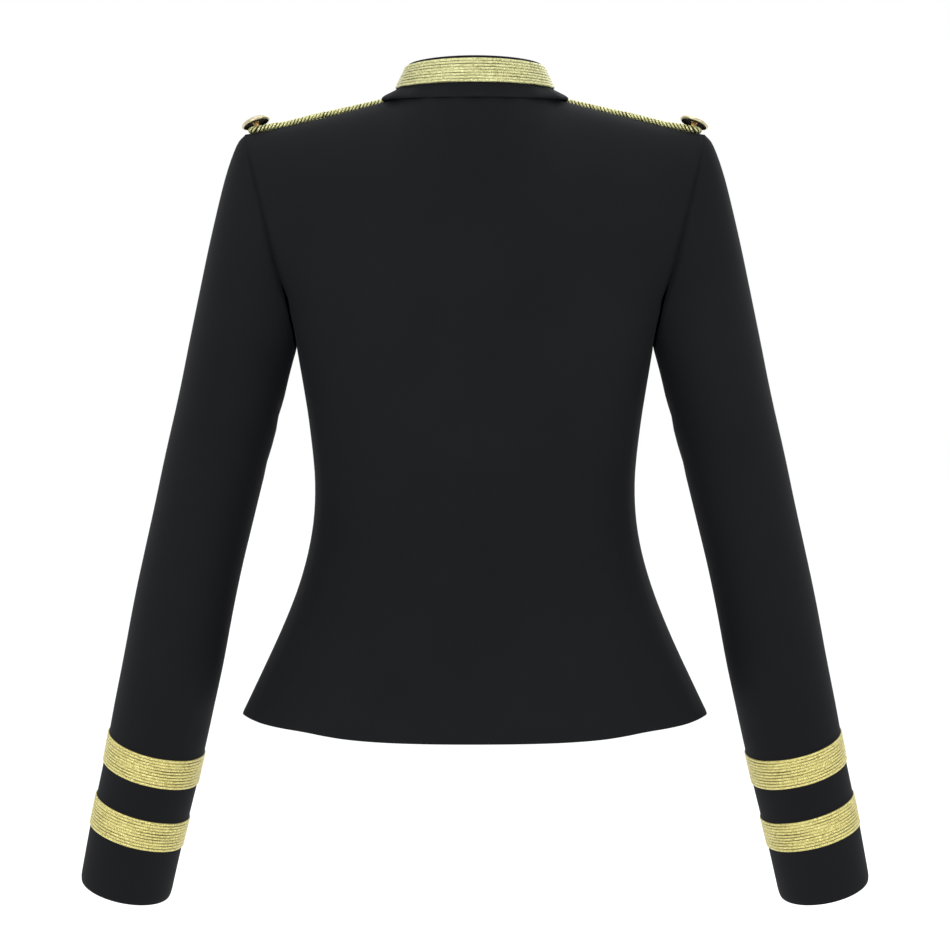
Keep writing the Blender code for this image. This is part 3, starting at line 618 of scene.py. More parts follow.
# Creases of a sleeve. Columns: from turn, reach to turn, reach, bow, width, depth
SLEEVE_CREASES = (
    (150, 420, 205, 398, 8, 9, 1.3),
    (140, 384, 190, 366, 6, 9, 1.0),
    (215, 300, 300, 286, 9, 8, 1.3),
    (206, 268, 282, 262, 8, 7, 1.5),
    (214, 240, 276, 228, -7, 8, 1.1),
    (70, 262, 118, 240, -6, 9, 0.7),
    (60, 215, 100, 190, -6, 10, 0.6),
    (110, 160, 150, 146, 5, 9, 0.7),
    (230, 175, 285, 158, 7, 9, 0.8),
    (20, 392, 64, 330, 7, 15, 0.8),
    (300, 400, 340, 340, -7, 15, 0.8),
)
TURN_TO_MM = 0.75
CREASE_POINTS = 25
CREASE_END = 0.02
CREASE_TAPER = 0.7
CREASE_BANK = 0.55

# How a crease varies along its length. Columns: share, pace, shift for each crease
DEPTH_WAVE = (0.25, 9, 1)
WIDTH_WAVE = (0.3, 5, 2)

# Braid: ribs, their height and the base that they stand on, with an edge a little past the ribs
CUFF_RIBS = 10
COLLAR_RIBS = 8
RIB_STEPS = 8
RIB_PITCH = 2.6
RIB_POWER = 0.55
BRAID_LIFT = 0.75
BRAID_RISE = 0.8
BRAID_EDGE = 0.004
BRAID_EDGE_LIFT = 0.45
BRAID_TURN = 3
CUFF_INSIDE = 0.15
COLLAR_INSIDE = (0.35, 0.4, 0.35)

# Fine collar: how far its lower edge sinks, its section's real size, its points and their knots
COLLAR_SINK = 1.1
COLLAR_SIZE = (30, 1, 1)
COLLAR_STEPS = 3
COLLAR_KNOT_POWER = 0.6
COLLAR_LEAST_STEP = 0.2

# Rounded end of a sweep. Columns: how much its section shrinks, how far it is pushed out
SOFT_END = ((0.06, 0.25), (0.2, 0.5), (0.5, 0.65))

# Rope of the shoulder cords
ROPE_STRANDS = 3
ROPE_PITCH = 9.0
STRAND_RADIUS = 1.12
STRAND_SIDES = 10
STRAND_ROUND = 10.0
ROPE_STEPS = 9

# Fine buttons. Columns of the stem: shares of the shank's radius and length
BUTTON_SIDES = 44
BUTTON_STEPS = 3
BUTTON_KNOT_POWER = 0.7
BUTTON_CORE = 0.02
STEM = ((1.0, 0.6), (0.9, 0.35))
STEM_FOOT = 1.1

# First row of a button's hollow, rows of its stem, and the step along U that tells them apart
HOLLOW_FROM = 22
STEM_ROWS = 4
PART_STEP = 100.0

# Height and place ahead from which the cloth is looked for, and the line of the front buttons
RAY_ABOVE = 100
RAY_AHEAD = -300
BUTTON_LINE = -0.01

# Buttonholes, with straight sides and round ends
HOLE_LENGTH = 21.0
HOLE_WIDTH = 1.5
HOLE_RADIUS = 0.55
HOLE_POINTS = 44
HOLE_SIDES = 8
HOLE_LIFT = (0, -0.15, 0)
HOLE_START = 2
HOLE_STRAIGHT = 1.6

# Finishes: places on a ramp and their colours
CLOTH_TONES = ((0.3, (0.0057, 0.0060, 0.0073)), (0.7, (0.0070, 0.0074, 0.0089)))
COLLAR_TONES = ((0.1, (0.24, 0.225, 0.075)), (0.5, (0.55, 0.54, 0.235)), (0.9, (0.88, 0.88, 0.50)))
CUFF_TONES = ((0.1, (0.28, 0.225, 0.055)), (0.5, (0.60, 0.53, 0.165)), (0.9, (0.92, 0.86, 0.38)))
# Brass tones over random patches: wear, with the darker ones also painted reflection streaks
BRASS_TONES = ((0.3, (0.38, 0.33, 0.19)), (0.55, (0.59, 0.53, 0.35)), (0.8, (0.75, 0.70, 0.53)))
# Colour of a button's parts: the cap as it is, the hollow back painted near-black for its shade, the
# shank coppery
BRASS_PARTS_AND_HOLLOW_SHADE = ((0.15, (1, 1, 1)), (0.3, (0.025, 0.025, 0.02)), (0.7, (0.025, 0.025, 0.02)),
               (0.85, (0.95, 0.66, 0.38)))
BRASS_DULL = ((0.15, (0, 0, 0)), (0.3, (0.6, 0.6, 0.6)), (0.7, (0.6, 0.6, 0.6)),
              (0.85, (0.1, 0.1, 0.1)))
BRAID_STREAK = 0.12
# Painted shade in the braid's grooves between its ribs
BRAID_GROOVE_SHADE = ((0.08, (0.10, 0.09, 0.05)), (0.42, (1, 1, 1)))
# Painted lighter crest on the outer side of each rope strand, and painted shade on its inner side where
# the strands meet
ROPE_STRAND_LIGHT_AND_SHADE = ((0.3, (1.2, 1.2, 1.2)), (0.65, (0.05, 0.05, 0.015)))
TWIST_TONES = ((0, (0.005, 0.005, 0.006)), (1, (0.016, 0.017, 0.02)))

# Gold thread: its pitch in metres, its slant, and how strongly it and its glints show
THREAD_PITCH = 0.0016
ROPE_THREAD_PITCH = 0.0012
THREAD_SLANT = 0.8
THREAD_SHOW = 0.2
SPARKLE = 3.1

# Floor and lights, in metres and watts. Columns of the lights: x, y, z, power, size
FLOOR_Z = -1.0
FLOOR_REACH = 14.0
LIGHTS = {
    "key": (1.6, 2.6, 1.6, 26, 1.6),
    "fill": (-2.2, 2.2, 0.8, 12, 1.8),
    "top": (0, -0.6, 2.6, 20, 2.2),
    "front": (-1.0, -2.8, 1.4, 22, 1.8),
}
LIGHT_AIM = (0, 0, -0.3)

# Camera, behind the jacket: distance and aim in metres, tilt in degrees, lens in millimetres
CAMERA_DISTANCE = 3.2
CAMERA_TILT = 2.75
CAMERA_AIM = (0, 0, -0.300)
CAMERA_LENS = 151.6


def refine(points, marks, closed=False, knots=None):
    """Smooth curve through the rows of an array, read at fractional row numbers."""
    points = np.asarray(points, float)
    if closed:
        points = np.concatenate((points[-3:], points, points[:4]))
        marks = marks + 3
    if knots is None:
        slopes = np.gradient(points, axis=0)
        spans = np.ones(len(points) - 1)
    else:
        slopes = np.gradient(points, knots, axis=0)
        spans = np.diff(knots)
    low = np.minimum(marks.astype(int), len(points) - 2)
    shape = (-1,) + (1,) * (points.ndim - 1)
    t, span = (marks - low).reshape(shape), spans[low].reshape(shape)
    return hermite(points[low], slopes[low] * span, points[low + 1], slopes[low + 1] * span, t)


def marks_for(spans, steps, seams=()):
    """Fractional row numbers, closer together beside the seams."""
    marks = set(np.round(np.linspace(0, spans, spans * steps + 1), 4))
    for seam in seams:
        near = [seam + side * away for side in (-1, 1) for away in NEAR_SEAM]
        marks |= {round(mark, 4) for mark in near if 0 < mark < spans}
    return np.array(sorted(marks))


def bezier(row, scale):
    """Points along a crease, which bows to one side of the line between its ends."""
    start, end = np.array(row[0:2]) * scale, np.array(row[2:4]) * scale
    across = unit(np.array((start[1] - end[1], end[0] - start[0])))
    middle = (start + end) / 2 + across * row[4]
    t = np.linspace(0, 1, CREASE_POINTS)[:, None]
    return (1 - t)**2 * start + 2 * t * (1 - t) * middle + t**2 * end


def wave(row, along, number):
    """Uneven factor along a crease, another for each number."""
    share, pace, shift = row
    return 1 + share * np.sin(pace * along + shift * number)


def crease_heights(flat, creases, scale=(1, 1)):
    """Height over each flat point: every crease is a soft trough with low banks."""
    total = np.zeros(len(flat))
    for number, row in enumerate(creases):
        line = bezier(row, scale)
        away = np.linalg.norm(flat[:, None] - line[None], axis=2)
        along = away.argmin(axis=1) / (len(line) - 1)
        taper = np.sin(pi * np.clip(along, CREASE_END, 1 - CREASE_END)) ** CREASE_TAPER
        depth = row[6] * taper * wave(DEPTH_WAVE, along, number)
        q = (away.min(axis=1) / (row[5] * wave(WIDTH_WAVE, along, number))) ** 2
        total -= depth * np.exp(-q) * (1 - CREASE_BANK * q)
    return total


def uneven(points):
    """Slow uneven rise and fall of the cloth."""
    return np.array([noise.noise(Vector(point) / UNEVEN_SIZE) for point in points]) * UNEVEN_HEIGHT


def edge_roll(points, edge):
    """How far the cloth turns in beside its seams and, less, beside its free edges."""
    wide, low = NECK_WIDTH + NECK_CLEAR[0], NECK_POINT_Z - NECK_DROP - NECK_CLEAR[1]
    edge = edge[(np.abs(edge[:, 0]) >= wide) | (edge[:, 2] <= low)]
    free = (edge[:, 2] < HEM_SIDE + FREE_ABOVE) | (np.abs(edge[:, 0]) < FREE_ABOVE)
    depth = np.zeros(len(points))
    for part, roll in ((edge[~free], SEAM_ROLL), (edge[free], FREE_ROLL)):
        for start in range(0, len(points), CHUNK):
            near = points[start:start + CHUNK]
            away = np.linalg.norm(near[:, None] - part[None], axis=2).min(axis=1)
            tip = np.linalg.norm(np.abs(near) * (1, 1, -1) - np.array(SHOULDER_TIP), axis=1)
            turned = roll * np.exp(-(away / EDGE_WIDTH) ** 2) * np.clip(tip / TIP_CLEAR, 0, 1)
            depth[start:start + CHUNK] = np.maximum(depth[start:start + CHUNK], turned)
    return depth


def rim_edges(quads):
    edges = {(a, b) for loop in quads for a, b in zip(loop, loop[1:] + loop[:1])}
    return [(a, b) for a, b in edges if (b, a) not in edges]


def dense(points, edges):
    """Points along the open edge, close enough for distances."""
    return np.array([points[a] + (points[b] - points[a]) * t for a, b in edges
                     for t in (0, 0.25, 0.5, 0.75)])


def place_object(name, data):
    made = bpy.data.objects.new(name, data)
    bpy.context.scene.collection.objects.link(made)
    return made


def mesh_object(name, verts, faces, uvs, finish):
    mesh = bpy.data.meshes.new(name)
    mesh.from_pydata((np.asarray(verts) * MM).tolist(), [], faces)
    layer = mesh.uv_layers.new(name="UVMap")
    index = np.zeros(len(mesh.loops), int)
    mesh.loops.foreach_get("vertex_index", index)
    layer.data.foreach_set("uv", (np.asarray(uvs)[index] * MM).ravel())
    mesh.validate()
    mesh.shade_smooth()
    mesh.materials.append(finish)
    piece = place_object(name, mesh)
    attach(piece, "root")
    return piece


def cloth_object(name, outer, inward, quads, uvs, finish):
    """Outer and inner skin of the cloth with a round rim along its open edge."""
    outer, inward, uvs = np.asarray(outer), np.asarray(inward), np.asarray(uvs)
    inner = outer + inward * CLOTH
    count = len(outer)
    rim = rim_edges(quads)
    away = {}
    for a, b in rim:
        out = unit(np.cross(outer[b] - outer[a], -inward[a]))
        for key in (a, b):
            away[key] = away.get(key, 0) + out
    verts = [outer, inner]
    strips = [{key: key for key in away}]
    total = 2 * count
    keys = list(away)
    for angle in RIM_ANGLES:
        lift = [(outer[key] + inner[key]) / 2 + (outer[key] - inner[key]) / 2 * cos(radians(angle))
                + unit(away[key]) * CLOTH / 2 * sin(radians(angle)) for key in keys]
        verts.append(np.array(lift))
        strips.append({key: total + place for place, key in enumerate(keys)})
        total += len(keys)
    strips.append({key: count + key for key in keys})
    faces = [list(loop) for loop in quads] + [[count + v for v in loop[::-1]] for loop in quads]
    for near, far in zip(strips, strips[1:]):
        faces += [[near[b], near[a], far[a], far[b]] for a, b in rim]
    all_uvs = np.concatenate((uvs, uvs) + (uvs[keys],) * len(RIM_ANGLES))
    return mesh_object(name, np.concatenate(verts), faces, all_uvs, finish)


def grid_faces(rows, count, closed=False):
    """Faces between rows of points that run round, and from the last to the first if closed."""
    faces = []
    for row in range(rows if closed else rows - 1):
        near, far = row * count, (row + 1) % rows * count
        for place in range(count):
            after = (place + 1) % count
            faces.append([near + place, near + after, far + after, far + place])
    return faces


def turned_out(points, quads, normals, at=0):
    """The faces, turned so that the one tested faces out as its normal does."""
    a, b, c = (points[v] for v in quads[at][:3])
    if np.cross(b - a, c - a) @ normals[quads[at][0]] < 0:
        return [loop[::-1] for loop in quads]
    return quads


def swept_object(name, sections, closed, uvs, finish):
    """Join equal closed sections in order, in a ring or with an end face at each end."""
    sections = np.asarray(sections)
    total, count = sections.shape[:2]
    faces = grid_faces(total, count, closed)
    if not closed:
        faces.append(list(range(count))[::-1])
        faces.append([(total - 1) * count + place for place in range(count)])
    verts = sections.reshape(-1, 3)
    if signed_volume(verts, faces) < 0:
        faces = [loop[::-1] for loop in faces]
    return mesh_object(name, verts, faces, uvs.reshape(-1, 2), finish)


def signed_volume(verts, faces):
    total = 0.0
    for loop in faces:
        first = verts[loop[0]]
        for a, b in zip(loop[1:], loop[2:]):
            total += first @ np.cross(verts[a], verts[b])
    return total


def travelled(points, power=1.0, least=0.0):
    """Length from the start to each point of a line, with its steps raised to a power."""
    steps = np.maximum(np.linalg.norm(np.diff(points, axis=0), axis=1), least)
    return np.concatenate(([0], np.cumsum(steps ** power)))


def section_uvs(sections):
    """Length along the sweep and round the section, in millimetres."""
    u, v = travelled(sections.mean(axis=1)), travelled(sections[len(sections) // 2])
    return np.stack(np.broadcast_arrays(u[:, None], v[None]), axis=2)


def tube(centre, first, second, radius, sides):
    """Round sections about a line of points, from two directions across it."""
    angles = tau * np.arange(sides)[:, None] / sides
    ring = first[:, None] * np.cos(angles) + second[:, None] * np.sin(angles)
    return centre[:, None] + radius * ring


def braid_uvs(sections, ribs):
    """Length along the braid and number of the rib times its pitch, in millimetres."""
    uvs = section_uvs(sections).copy()
    shares = [share for share, _ in rib_line(ribs)]
    shares += [1.0] * (sections.shape[1] - len(shares))
    uvs[..., 1] = np.array(shares)[None] * ribs * RIB_PITCH
    return uvs


# Body cloth

def whole_cells(grid):
    """Corner keys of every whole cell of a grid keyed by column and row."""
    for column, row in grid:
        cell = ((column, row), (column + 1, row), (column + 1, row + 1), (column, row + 1))
        if all(key in grid for key in cell):
            yield cell


def coarse_panels():
    """Columns of points and inward steps of the back and of the left front, and all normals."""
    grids = {face: panel_grid(face) for face in (1, -1)}
    sums = {}
    for face, grid in grids.items():
        for side in (1, -1):
            for cell in whole_cells(grid):
                a, b, c, d = (grid[key] * (side, 1, 1) for key in cell)
                normal = np.cross(c - a, d - b) * -side * face
                for point in (a, b, c, d):
                    place = tuple(np.round(point, 4))
                    sums[place] = sums.get(place, 0) + normal
    normals = {place: unit(total) for place, total in sums.items()}
    panels = {}
    for face, grid in grids.items():
        columns = [[] for _ in range(LAST_COLUMN[face] + 1)]
        for (column, row), point in grid.items():
            inward = -normal_at(normals, point)
            turn = armhole_turn(face, column, row)
            if turn is not None:
                inward = -mitre(-inward, sleeve_normal(face, turn), armhole_lean(turn))
            columns[column].append(np.concatenate((point, inward)))
        panels[face] = [np.array(line) for line in columns]
    return panels, normals


FLIP_BOTH = (-1, 1, 1, -1, 1, 1)


def smooth(data, quads, rounds):
    """Even out the points and inward steps away from the open edge."""
    loops = np.array(quads)
    pairs = np.concatenate([loops[:, (k, (k + 1) % 4)] for k in range(4)])
    pairs = np.concatenate((pairs, pairs[:, ::-1]))
    fixed = np.array(sorted({v for edge in rim_edges(quads) for v in edge}))
    count = np.bincount(pairs[:, 0], minlength=len(data))[:, None]
    for _ in range(rounds):
        mean = np.zeros_like(data)
        np.add.at(mean, pairs[:, 0], data[pairs[:, 1]])
        mean = mean / count
        mean[fixed] = data[fixed]
        data = mean
    return data


def fine_sheet(columns, first, last):
    """Fine points, inward steps and faces of a panel of coarse columns."""
    v_marks = marks_for(TOP_ROW, STEPS, (0, UNDERARM_ROW, TOP_ROW))
    u_marks = marks_for(len(columns) - 1, STEPS, (0, first, last, len(columns) - 1))
    lines = [refine(column, v_marks[v_marks <= len(column) - 1]) for column in columns]
    index, data = {}, []
    for row, v in enumerate(v_marks):
        low, high = (0, len(columns) - 1) if v <= UNDERARM_ROW else (first, last)
        places = [place for place, u in enumerate(u_marks) if low <= u <= high]
        fine = refine([line[row] for line in lines[low:high + 1]], u_marks[places] - low)
        for place, value in zip(places, fine):
            index[place, row] = len(data)
            data.append(value)
    quads = [[index[key] for key in cell] for cell in whole_cells(index)]
    data = smooth(np.array(data), quads, SMOOTH_ROUNDS)
    return data[:, :3], data[:, 3:], quads


def finish_sheet(name, points, inward, quads, creases, finish):
    """Creases, uneven cloth and rolled edges, then both skins."""
    normals = -unit(inward)
    flat = np.stack((np.abs(points[:, 0]), points[:, 2]), axis=1)
    rise = crease_heights(flat, creases) + uneven(points)
    if name != "cloth_back":
        rise *= 1 - np.exp(-(points[:, 0] / CALM_FRONT) ** 2)
    roll = edge_roll(points, dense(points, rim_edges(quads)))
    outer = points + normals * (rise - roll)[:, None]
    loops = turned_out(outer, quads, normals)
    uvs = np.stack((points[:, 0] + points[:, 1] * BIAS, points[:, 2]), axis=1)
    return cloth_object(name, outer, inward, loops, uvs, finish), outer, loops


def build_body(crepe):
    panels, normals = coarse_panels()
    back = [column * FLIP_BOTH for column in panels[1][:0:-1]] + panels[1]
    tip = len(panels[1]) - 1
    reach = TIP_COLUMN[1]
    pieces, skins = {}, {}
    made = fine_sheet(back, tip - reach, tip + reach)
    pieces["back"], *skins["back"] = finish_sheet("cloth_back", *made, BACK_CREASES, crepe)
    for side, label in ((1, "left"), (-1, "right")):
        columns = [panels[-1][1] * FLIP_BOTH] + panels[-1]
        columns = [column.copy() for column in columns]
        if side > 0:
            for column in columns[:3]:
                column[:, :3] += column[:, 3:] * LAP_DEPTH
        if side < 0:
            columns = [column * FLIP_BOTH for column in columns]
        made = fine_sheet(columns, 0, TIP_COLUMN[-1] + 1)
        name = f"front_{label}"
        pieces[name], *skins[name] = finish_sheet(f"cloth_{name}", *made, FRONT_CREASES, crepe)
    return pieces, skins, normals


# Sleeves

def normal_at(normals, point):
    return normals[tuple(np.round(point, 4))]


def build_sleeve(side, label, normals, crepe):
    turns, rows, body_normals = sleeve_grid(normals)
    inward = -tube_normals(rows)
    if inward[-1, 0] @ (rows[-1][0] - np.mean(rows[-1], axis=0)) > 0:
        inward = -inward
    for place, (face, turn) in enumerate(turns):
        lean = armhole_lean(turn)
        if lean > 0:
            inward[0, place] = -mitre(sleeve_normal(face, turn), body_normals[place], lean)
    grid = np.concatenate((np.array(rows), inward), axis=2)
    count, total = len(turns), len(rows)
    v_marks = marks_for(total - 1, STEPS, (0, total - 1))
    u_marks = marks_for(count, STEPS, (count // 2,))[:-1]
    tall = refine(grid, v_marks)
    fine = refine(tall.transpose(1, 0, 2), u_marks, closed=True).transpose(1, 0, 2)
    angles = [turn if face > 0 else 360 - turn for face, turn in turns] + [360]
    angle = np.interp(u_marks, range(count + 1), angles)
    reaches = [ARM_LENGTH + CAP_LENGTH * (1 - step / CAP_ROWS) for step in range(CAP_ROWS)]
    reach = np.interp(v_marks, range(total), reaches + list(CUFF_ROWS[::-1]))
    points, inward = fine[..., :3].reshape(-1, 3), fine[..., 3:].reshape(-1, 3)
    outward = -unit(inward)
    flat = np.stack([part.ravel() for part in np.meshgrid(angle * TURN_TO_MM, reach)], axis=1)
    rise = crease_heights(flat, SLEEVE_CREASES, (TURN_TO_MM, 1)) + uneven(points)
    low, high = CALM_CUFF
    rise *= np.clip((flat[:, 1] - low) / (high - low), 0, 1)
    width, depth = SLEEVE_SEAM
    seam = np.exp(-((flat[:, 0] - 180 * TURN_TO_MM) / width) ** 2) * depth
    quads = grid_faces(len(v_marks), len(u_marks))
    roll = edge_roll(points, dense(points, rim_edges(quads)))
    outer = points + outward * (rise - seam - roll)[:, None]
    loops = turned_out(outer, quads, outward, len(u_marks) * FACING_ROW)
    if side < 0:
        loops = [loop[::-1] for loop in loops]
    flip = (side, 1, 1)
    return cloth_object(f"cloth_sleeve_{label}", outer * flip, inward * flip, loops, flat, crepe)


def rib_line(ribs):
    """Share of the width and height of a braid's outer skin: round ribs with sharp grooves."""
    steps = ribs * RIB_STEPS
    line = []
    for step in range(steps + 1):
        share = step / steps
        rise = abs(sin(pi * ribs * share)) ** RIB_POWER - 0.5
        line.append((share, BRAID_LIFT + BRAID_RISE * rise))
    low = BRAID_LIFT * BRAID_EDGE_LIFT
    return [(-BRAID_EDGE, low)] + line + [(1 + BRAID_EDGE, low)]


def build_cuff_braids(side, label, gold):
    pieces = []
    for word, (low, high) in zip(("lower", "upper"), CUFF_BANDS):
        sections = []
        for step in range(0, 360, BRAID_TURN):
            face, turn = (1, step) if step <= 180 else (-1, 360 - step)
            near, far = (arm_point(face, turn, ring_reach(face, turn, at)) for at in (low, high))
            centre, outward, backward, _ = arm_frame((low + high) / 2)
            angle = radians(turn)
            out = unit(outward * cos(angle) / (outward @ outward)
                       + backward * sin(angle) * face / (backward @ backward))
            line = [near + (far - near) * share + out * height for share, height in rib_line(CUFF_RIBS)]
            line += [far + out * CUFF_INSIDE, near + out * CUFF_INSIDE]
            sections.append(np.array(line) * (side, 1, 1))
        sections = np.array(sections)
        name = f"braid_{word}_{label}"
        piece = swept_object(name, sections, True, braid_uvs(sections, CUFF_RIBS), gold)
        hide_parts(f"cuff_braid_{word}_{label}")
        pieces.append(piece)
    return pieces


# Collar

def fine_columns():
    """The collar's columns on a smooth curve: base, top and turn."""
    rows = [(side * base[0], base[1], base[2], side * top[0], top[1], top[2], side * turn)
            for side, base, top, turn in collar_columns()]
    rows = np.array(rows)
    middle = len(rows) // 2
    rows[middle, 6] = 0
    return refine(rows, marks_for(len(rows) - 1, COLLAR_STEPS))


def fine_section(row, profile):
    side = -1 if row[6] < 0 else 1
    base, top = row[0:3] * (side, 1, 1), row[3:6] * (side, 1, 1)
    return collar_section(side, base, top, abs(row[6]), profile)


def soft_ends(sections):
    """Round both ends of a sweep."""
    sections = [np.array(section) for section in sections]
    for end in (0, -1):
        last = sections[end]
        before = sections[1] if end == 0 else sections[-2]
        centre = last.mean(axis=0)
        out = unit(centre - before.mean(axis=0))
        extra = [centre + (last - centre) * (1 - shrink) + out * push for shrink, push in SOFT_END]
        sections = extra[::-1] + sections if end == 0 else sections + extra
    return np.array(sections)


def build_collar(crepe, gold):
    profile = np.array(COLLAR_SECTION)
    around = np.concatenate((profile[-3:], profile, profile[:4])) * COLLAR_SIZE
    knots = travelled(around, COLLAR_KNOT_POWER, COLLAR_LEAST_STEP)
    marks = np.arange(0, len(profile), 1 / COLLAR_STEPS)
    smoothed = refine(profile, marks, closed=True, knots=knots)
    sections = soft_ends([fine_section(row, smoothed) for row in fine_columns()])
    sections[:, :, 2] -= COLLAR_SINK * np.clip(1 - smoothed[:, 0] / COLLAR_BRAID[0], 0, 1)
    collar = swept_object("cloth_collar", sections, False, section_uvs(sections), crepe)
    low, high = COLLAR_BRAID
    braid = [(low + (high - low) * share, SEAT_GAP + COLLAR_FULLNESS + height, 0)
             for share, height in rib_line(COLLAR_RIBS)]
    braid += [(share, away, 0) for share, away in zip((high, (low + high) / 2, low), COLLAR_INSIDE)]
    sections = soft_ends([fine_section(row, braid) for row in fine_columns()])
    uvs = braid_uvs(sections, COLLAR_RIBS)
    trim = swept_object("braid_collar", sections, False, uvs, gold)
    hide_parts("collar_braid")
    return collar, trim


# Shoulder cords, buttons and buttonholes

def surface_tree(skins, names):
    verts, faces = [], []
    for name in names:
        points, loops = skins[name]
        start = len(verts)
        verts += [Vector(point) for point in points]
        faces += [[start + v for v in loop] for loop in loops]
    return BVHTree.FromPolygons(verts, faces)


def drop(tree, x, y):
    hit, _, _, _ = tree.ray_cast(Vector((x, y, RAY_ABOVE)), Vector((0, 0, -1)))
    return hit.z if hit else SHOULDER_TIP[2]


def seat_height(tree, x, y, radius):
    heights = [drop(tree, x + dx, y + dy) + sqrt(radius**2 - away**2)
               for away in np.array(CORD_SEAT) * radius for dx, dy in ((away, 0), (0, away))]
    return max(heights) + SEAT_GAP


def build_rope(side, label, tree, rope):
    """Three twisted strands along the cord's route."""
    route = np.array([(x, y, seat_height(tree, x, y, CORD_RADIUS)) for x, y in cord_route()])
    route = refine(route, marks_for(len(route) - 1, ROPE_STEPS))
    length = travelled(route)
    along = unit(np.gradient(route, axis=0))
    across = unit(np.cross(along, (0, 0, 1)))
    up = np.cross(across, along)
    step = np.arange(STRAND_SIDES)
    pieces = []
    for strand in range(ROPE_STRANDS):
        phase = tau * (length / ROPE_PITCH + strand / ROPE_STRANDS)[:, None]
        centre = route + (across * np.cos(phase) + up * np.sin(phase)) * (CORD_RADIUS - STRAND_RADIUS)
        way = unit(np.gradient(centre, axis=0))
        second = unit(np.cross(way, centre - route))
        sections = tube(centre, np.cross(second, way), second, STRAND_RADIUS, STRAND_SIDES)
        sections = sections * (side, 1, 1)
        uvs = section_uvs(sections).copy()
        # Round each strand from its outer side to its inner side, where the rope's finish paints shade
        uvs[..., 1] = (np.minimum(step, STRAND_SIDES - step) / STRAND_SIDES * STRAND_ROUND)[None]
        name = f"cord_{label}_strand_{strand + 1}"
        pieces.append(swept_object(name, sections, False, uvs, rope))
        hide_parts(f"shoulder_cord_{label}")
    return pieces


def build_button(name, node, foot, axis, shank, scale, brass):
    """A domed cap with a rolled rim and a hollow back on a round shank."""
    axis = unit(np.array(axis, float))
    first = unit(np.cross(axis, BUTTON_ASIDE))[None]
    profile = np.array(BUTTON_PROFILE) * scale + (0, shank)
    marks, knots = marks_for(len(profile) - 1, BUTTON_STEPS), travelled(profile, BUTTON_KNOT_POWER)
    profile = refine(profile, marks, knots=knots)
    stem = [(wide, high * shank) for wide, high in STEM] + [(STEM_FOOT, SEAT_GAP)]
    profile = np.concatenate((profile, np.array(stem) * (SHANK_RADIUS * scale, 1)))
    radius, height = profile.T[..., None]
    core = np.maximum(radius, BUTTON_CORE)[..., None]
    sections = tube(foot + axis * height, first, np.cross(axis, first), core, BUTTON_SIDES)
    place = np.arange(len(profile))[:, None]
    # The finish reads this step along U and paints the hollow near-black for its shade
    part = (place >= HOLLOW_FROM) * PART_STEP + (place >= len(profile) - STEM_ROWS) * PART_STEP
    angles = tau * np.arange(BUTTON_SIDES) / BUTTON_SIDES
    uvs = np.stack((radius * np.cos(angles) + part, radius * np.sin(angles)), axis=2)
    piece = swept_object(name, sections, False, uvs, brass)
    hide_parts(node)
    return piece


def build_shoulders(skins, rope, brass):
    tree = surface_tree(skins, ("back", "front_left"))
    x, y = SHOULDER_BUTTON_AT
    out, front = radians(BUTTON_LEAN_OUT), radians(BUTTON_LEAN_FRONT)
    found = {}
    for side, label in ((1, "left"), (-1, "right")):
        pieces = build_rope(side, label, tree, rope)
        foot = np.array((x * side, y, drop(tree, x, y) + BUTTON_LIFT))
        axis = (sin(out) * side, -sin(front), cos(out) * cos(front))
        node = f"shoulder_button_{label}"
        pieces.append(build_button(f"{node}_fine", node, foot, axis, SHOULDER_SHANK,
                                   SHOULDER_BUTTON_SCALE, brass))
        found[label] = pieces
    return found


def front_point(tree, x, z):
    """Point of the front's surface and its normal out of the cloth."""
    hit, normal, _, _ = tree.ray_cast(Vector((x, RAY_AHEAD, z)), Vector((0, 1, 0)))
    return np.array(hit), np.array(normal) * (1 if normal.y < 0 else -1)


def build_buttonhole(number, tree, z, thread):
    """A worked slit from the shank away from the edge, laid on the cloth."""
    half = HOLE_LENGTH / 2 - HOLE_WIDTH
    centre, out = [], []
    for step in range(HOLE_POINTS):
        angle = tau * step / HOLE_POINTS
        x = half * max(-1, min(1, HOLE_STRAIGHT * cos(angle))) + HOLE_WIDTH * cos(angle)
        hit, normal = front_point(tree, x - HOLE_LENGTH / 2 + HOLE_START, z + HOLE_WIDTH * sin(angle))
        centre.append(hit + HOLE_LIFT)
        out.append(normal)
    centre, out = np.array(centre), np.array(out)
    way = unit(np.roll(centre, -1, axis=0) - np.roll(centre, 1, axis=0))
    sections = tube(centre, np.cross(way, out), out, HOLE_RADIUS, HOLE_SIDES)
    uvs = section_uvs(np.concatenate((sections, sections[:1])))[:-1]
    return swept_object(f"buttonhole_{number}", sections, True, uvs, thread)


def build_front(skins, brass, thread):
    tree = surface_tree(skins, ("front_right",))
    pieces = []
    for number in range(1, FRONT_BUTTONS + 1):
        z = FRONT_BUTTON_TOP - FRONT_BUTTON_PITCH * (number - 1)
        hit, normal = front_point(tree, BUTTON_LINE, z)
        foot = np.array((0, hit[1], z)) + normal * FRONT_BUTTON_LIFT
        node = f"front_button_{number}"
        pieces.append(build_button(f"{node}_fine", node, foot, normal, FRONT_SHANK,
                                   FRONT_BUTTON_SCALE, brass))
        pieces.append(build_buttonhole(number, tree, z, thread))
    return pieces


# Materials

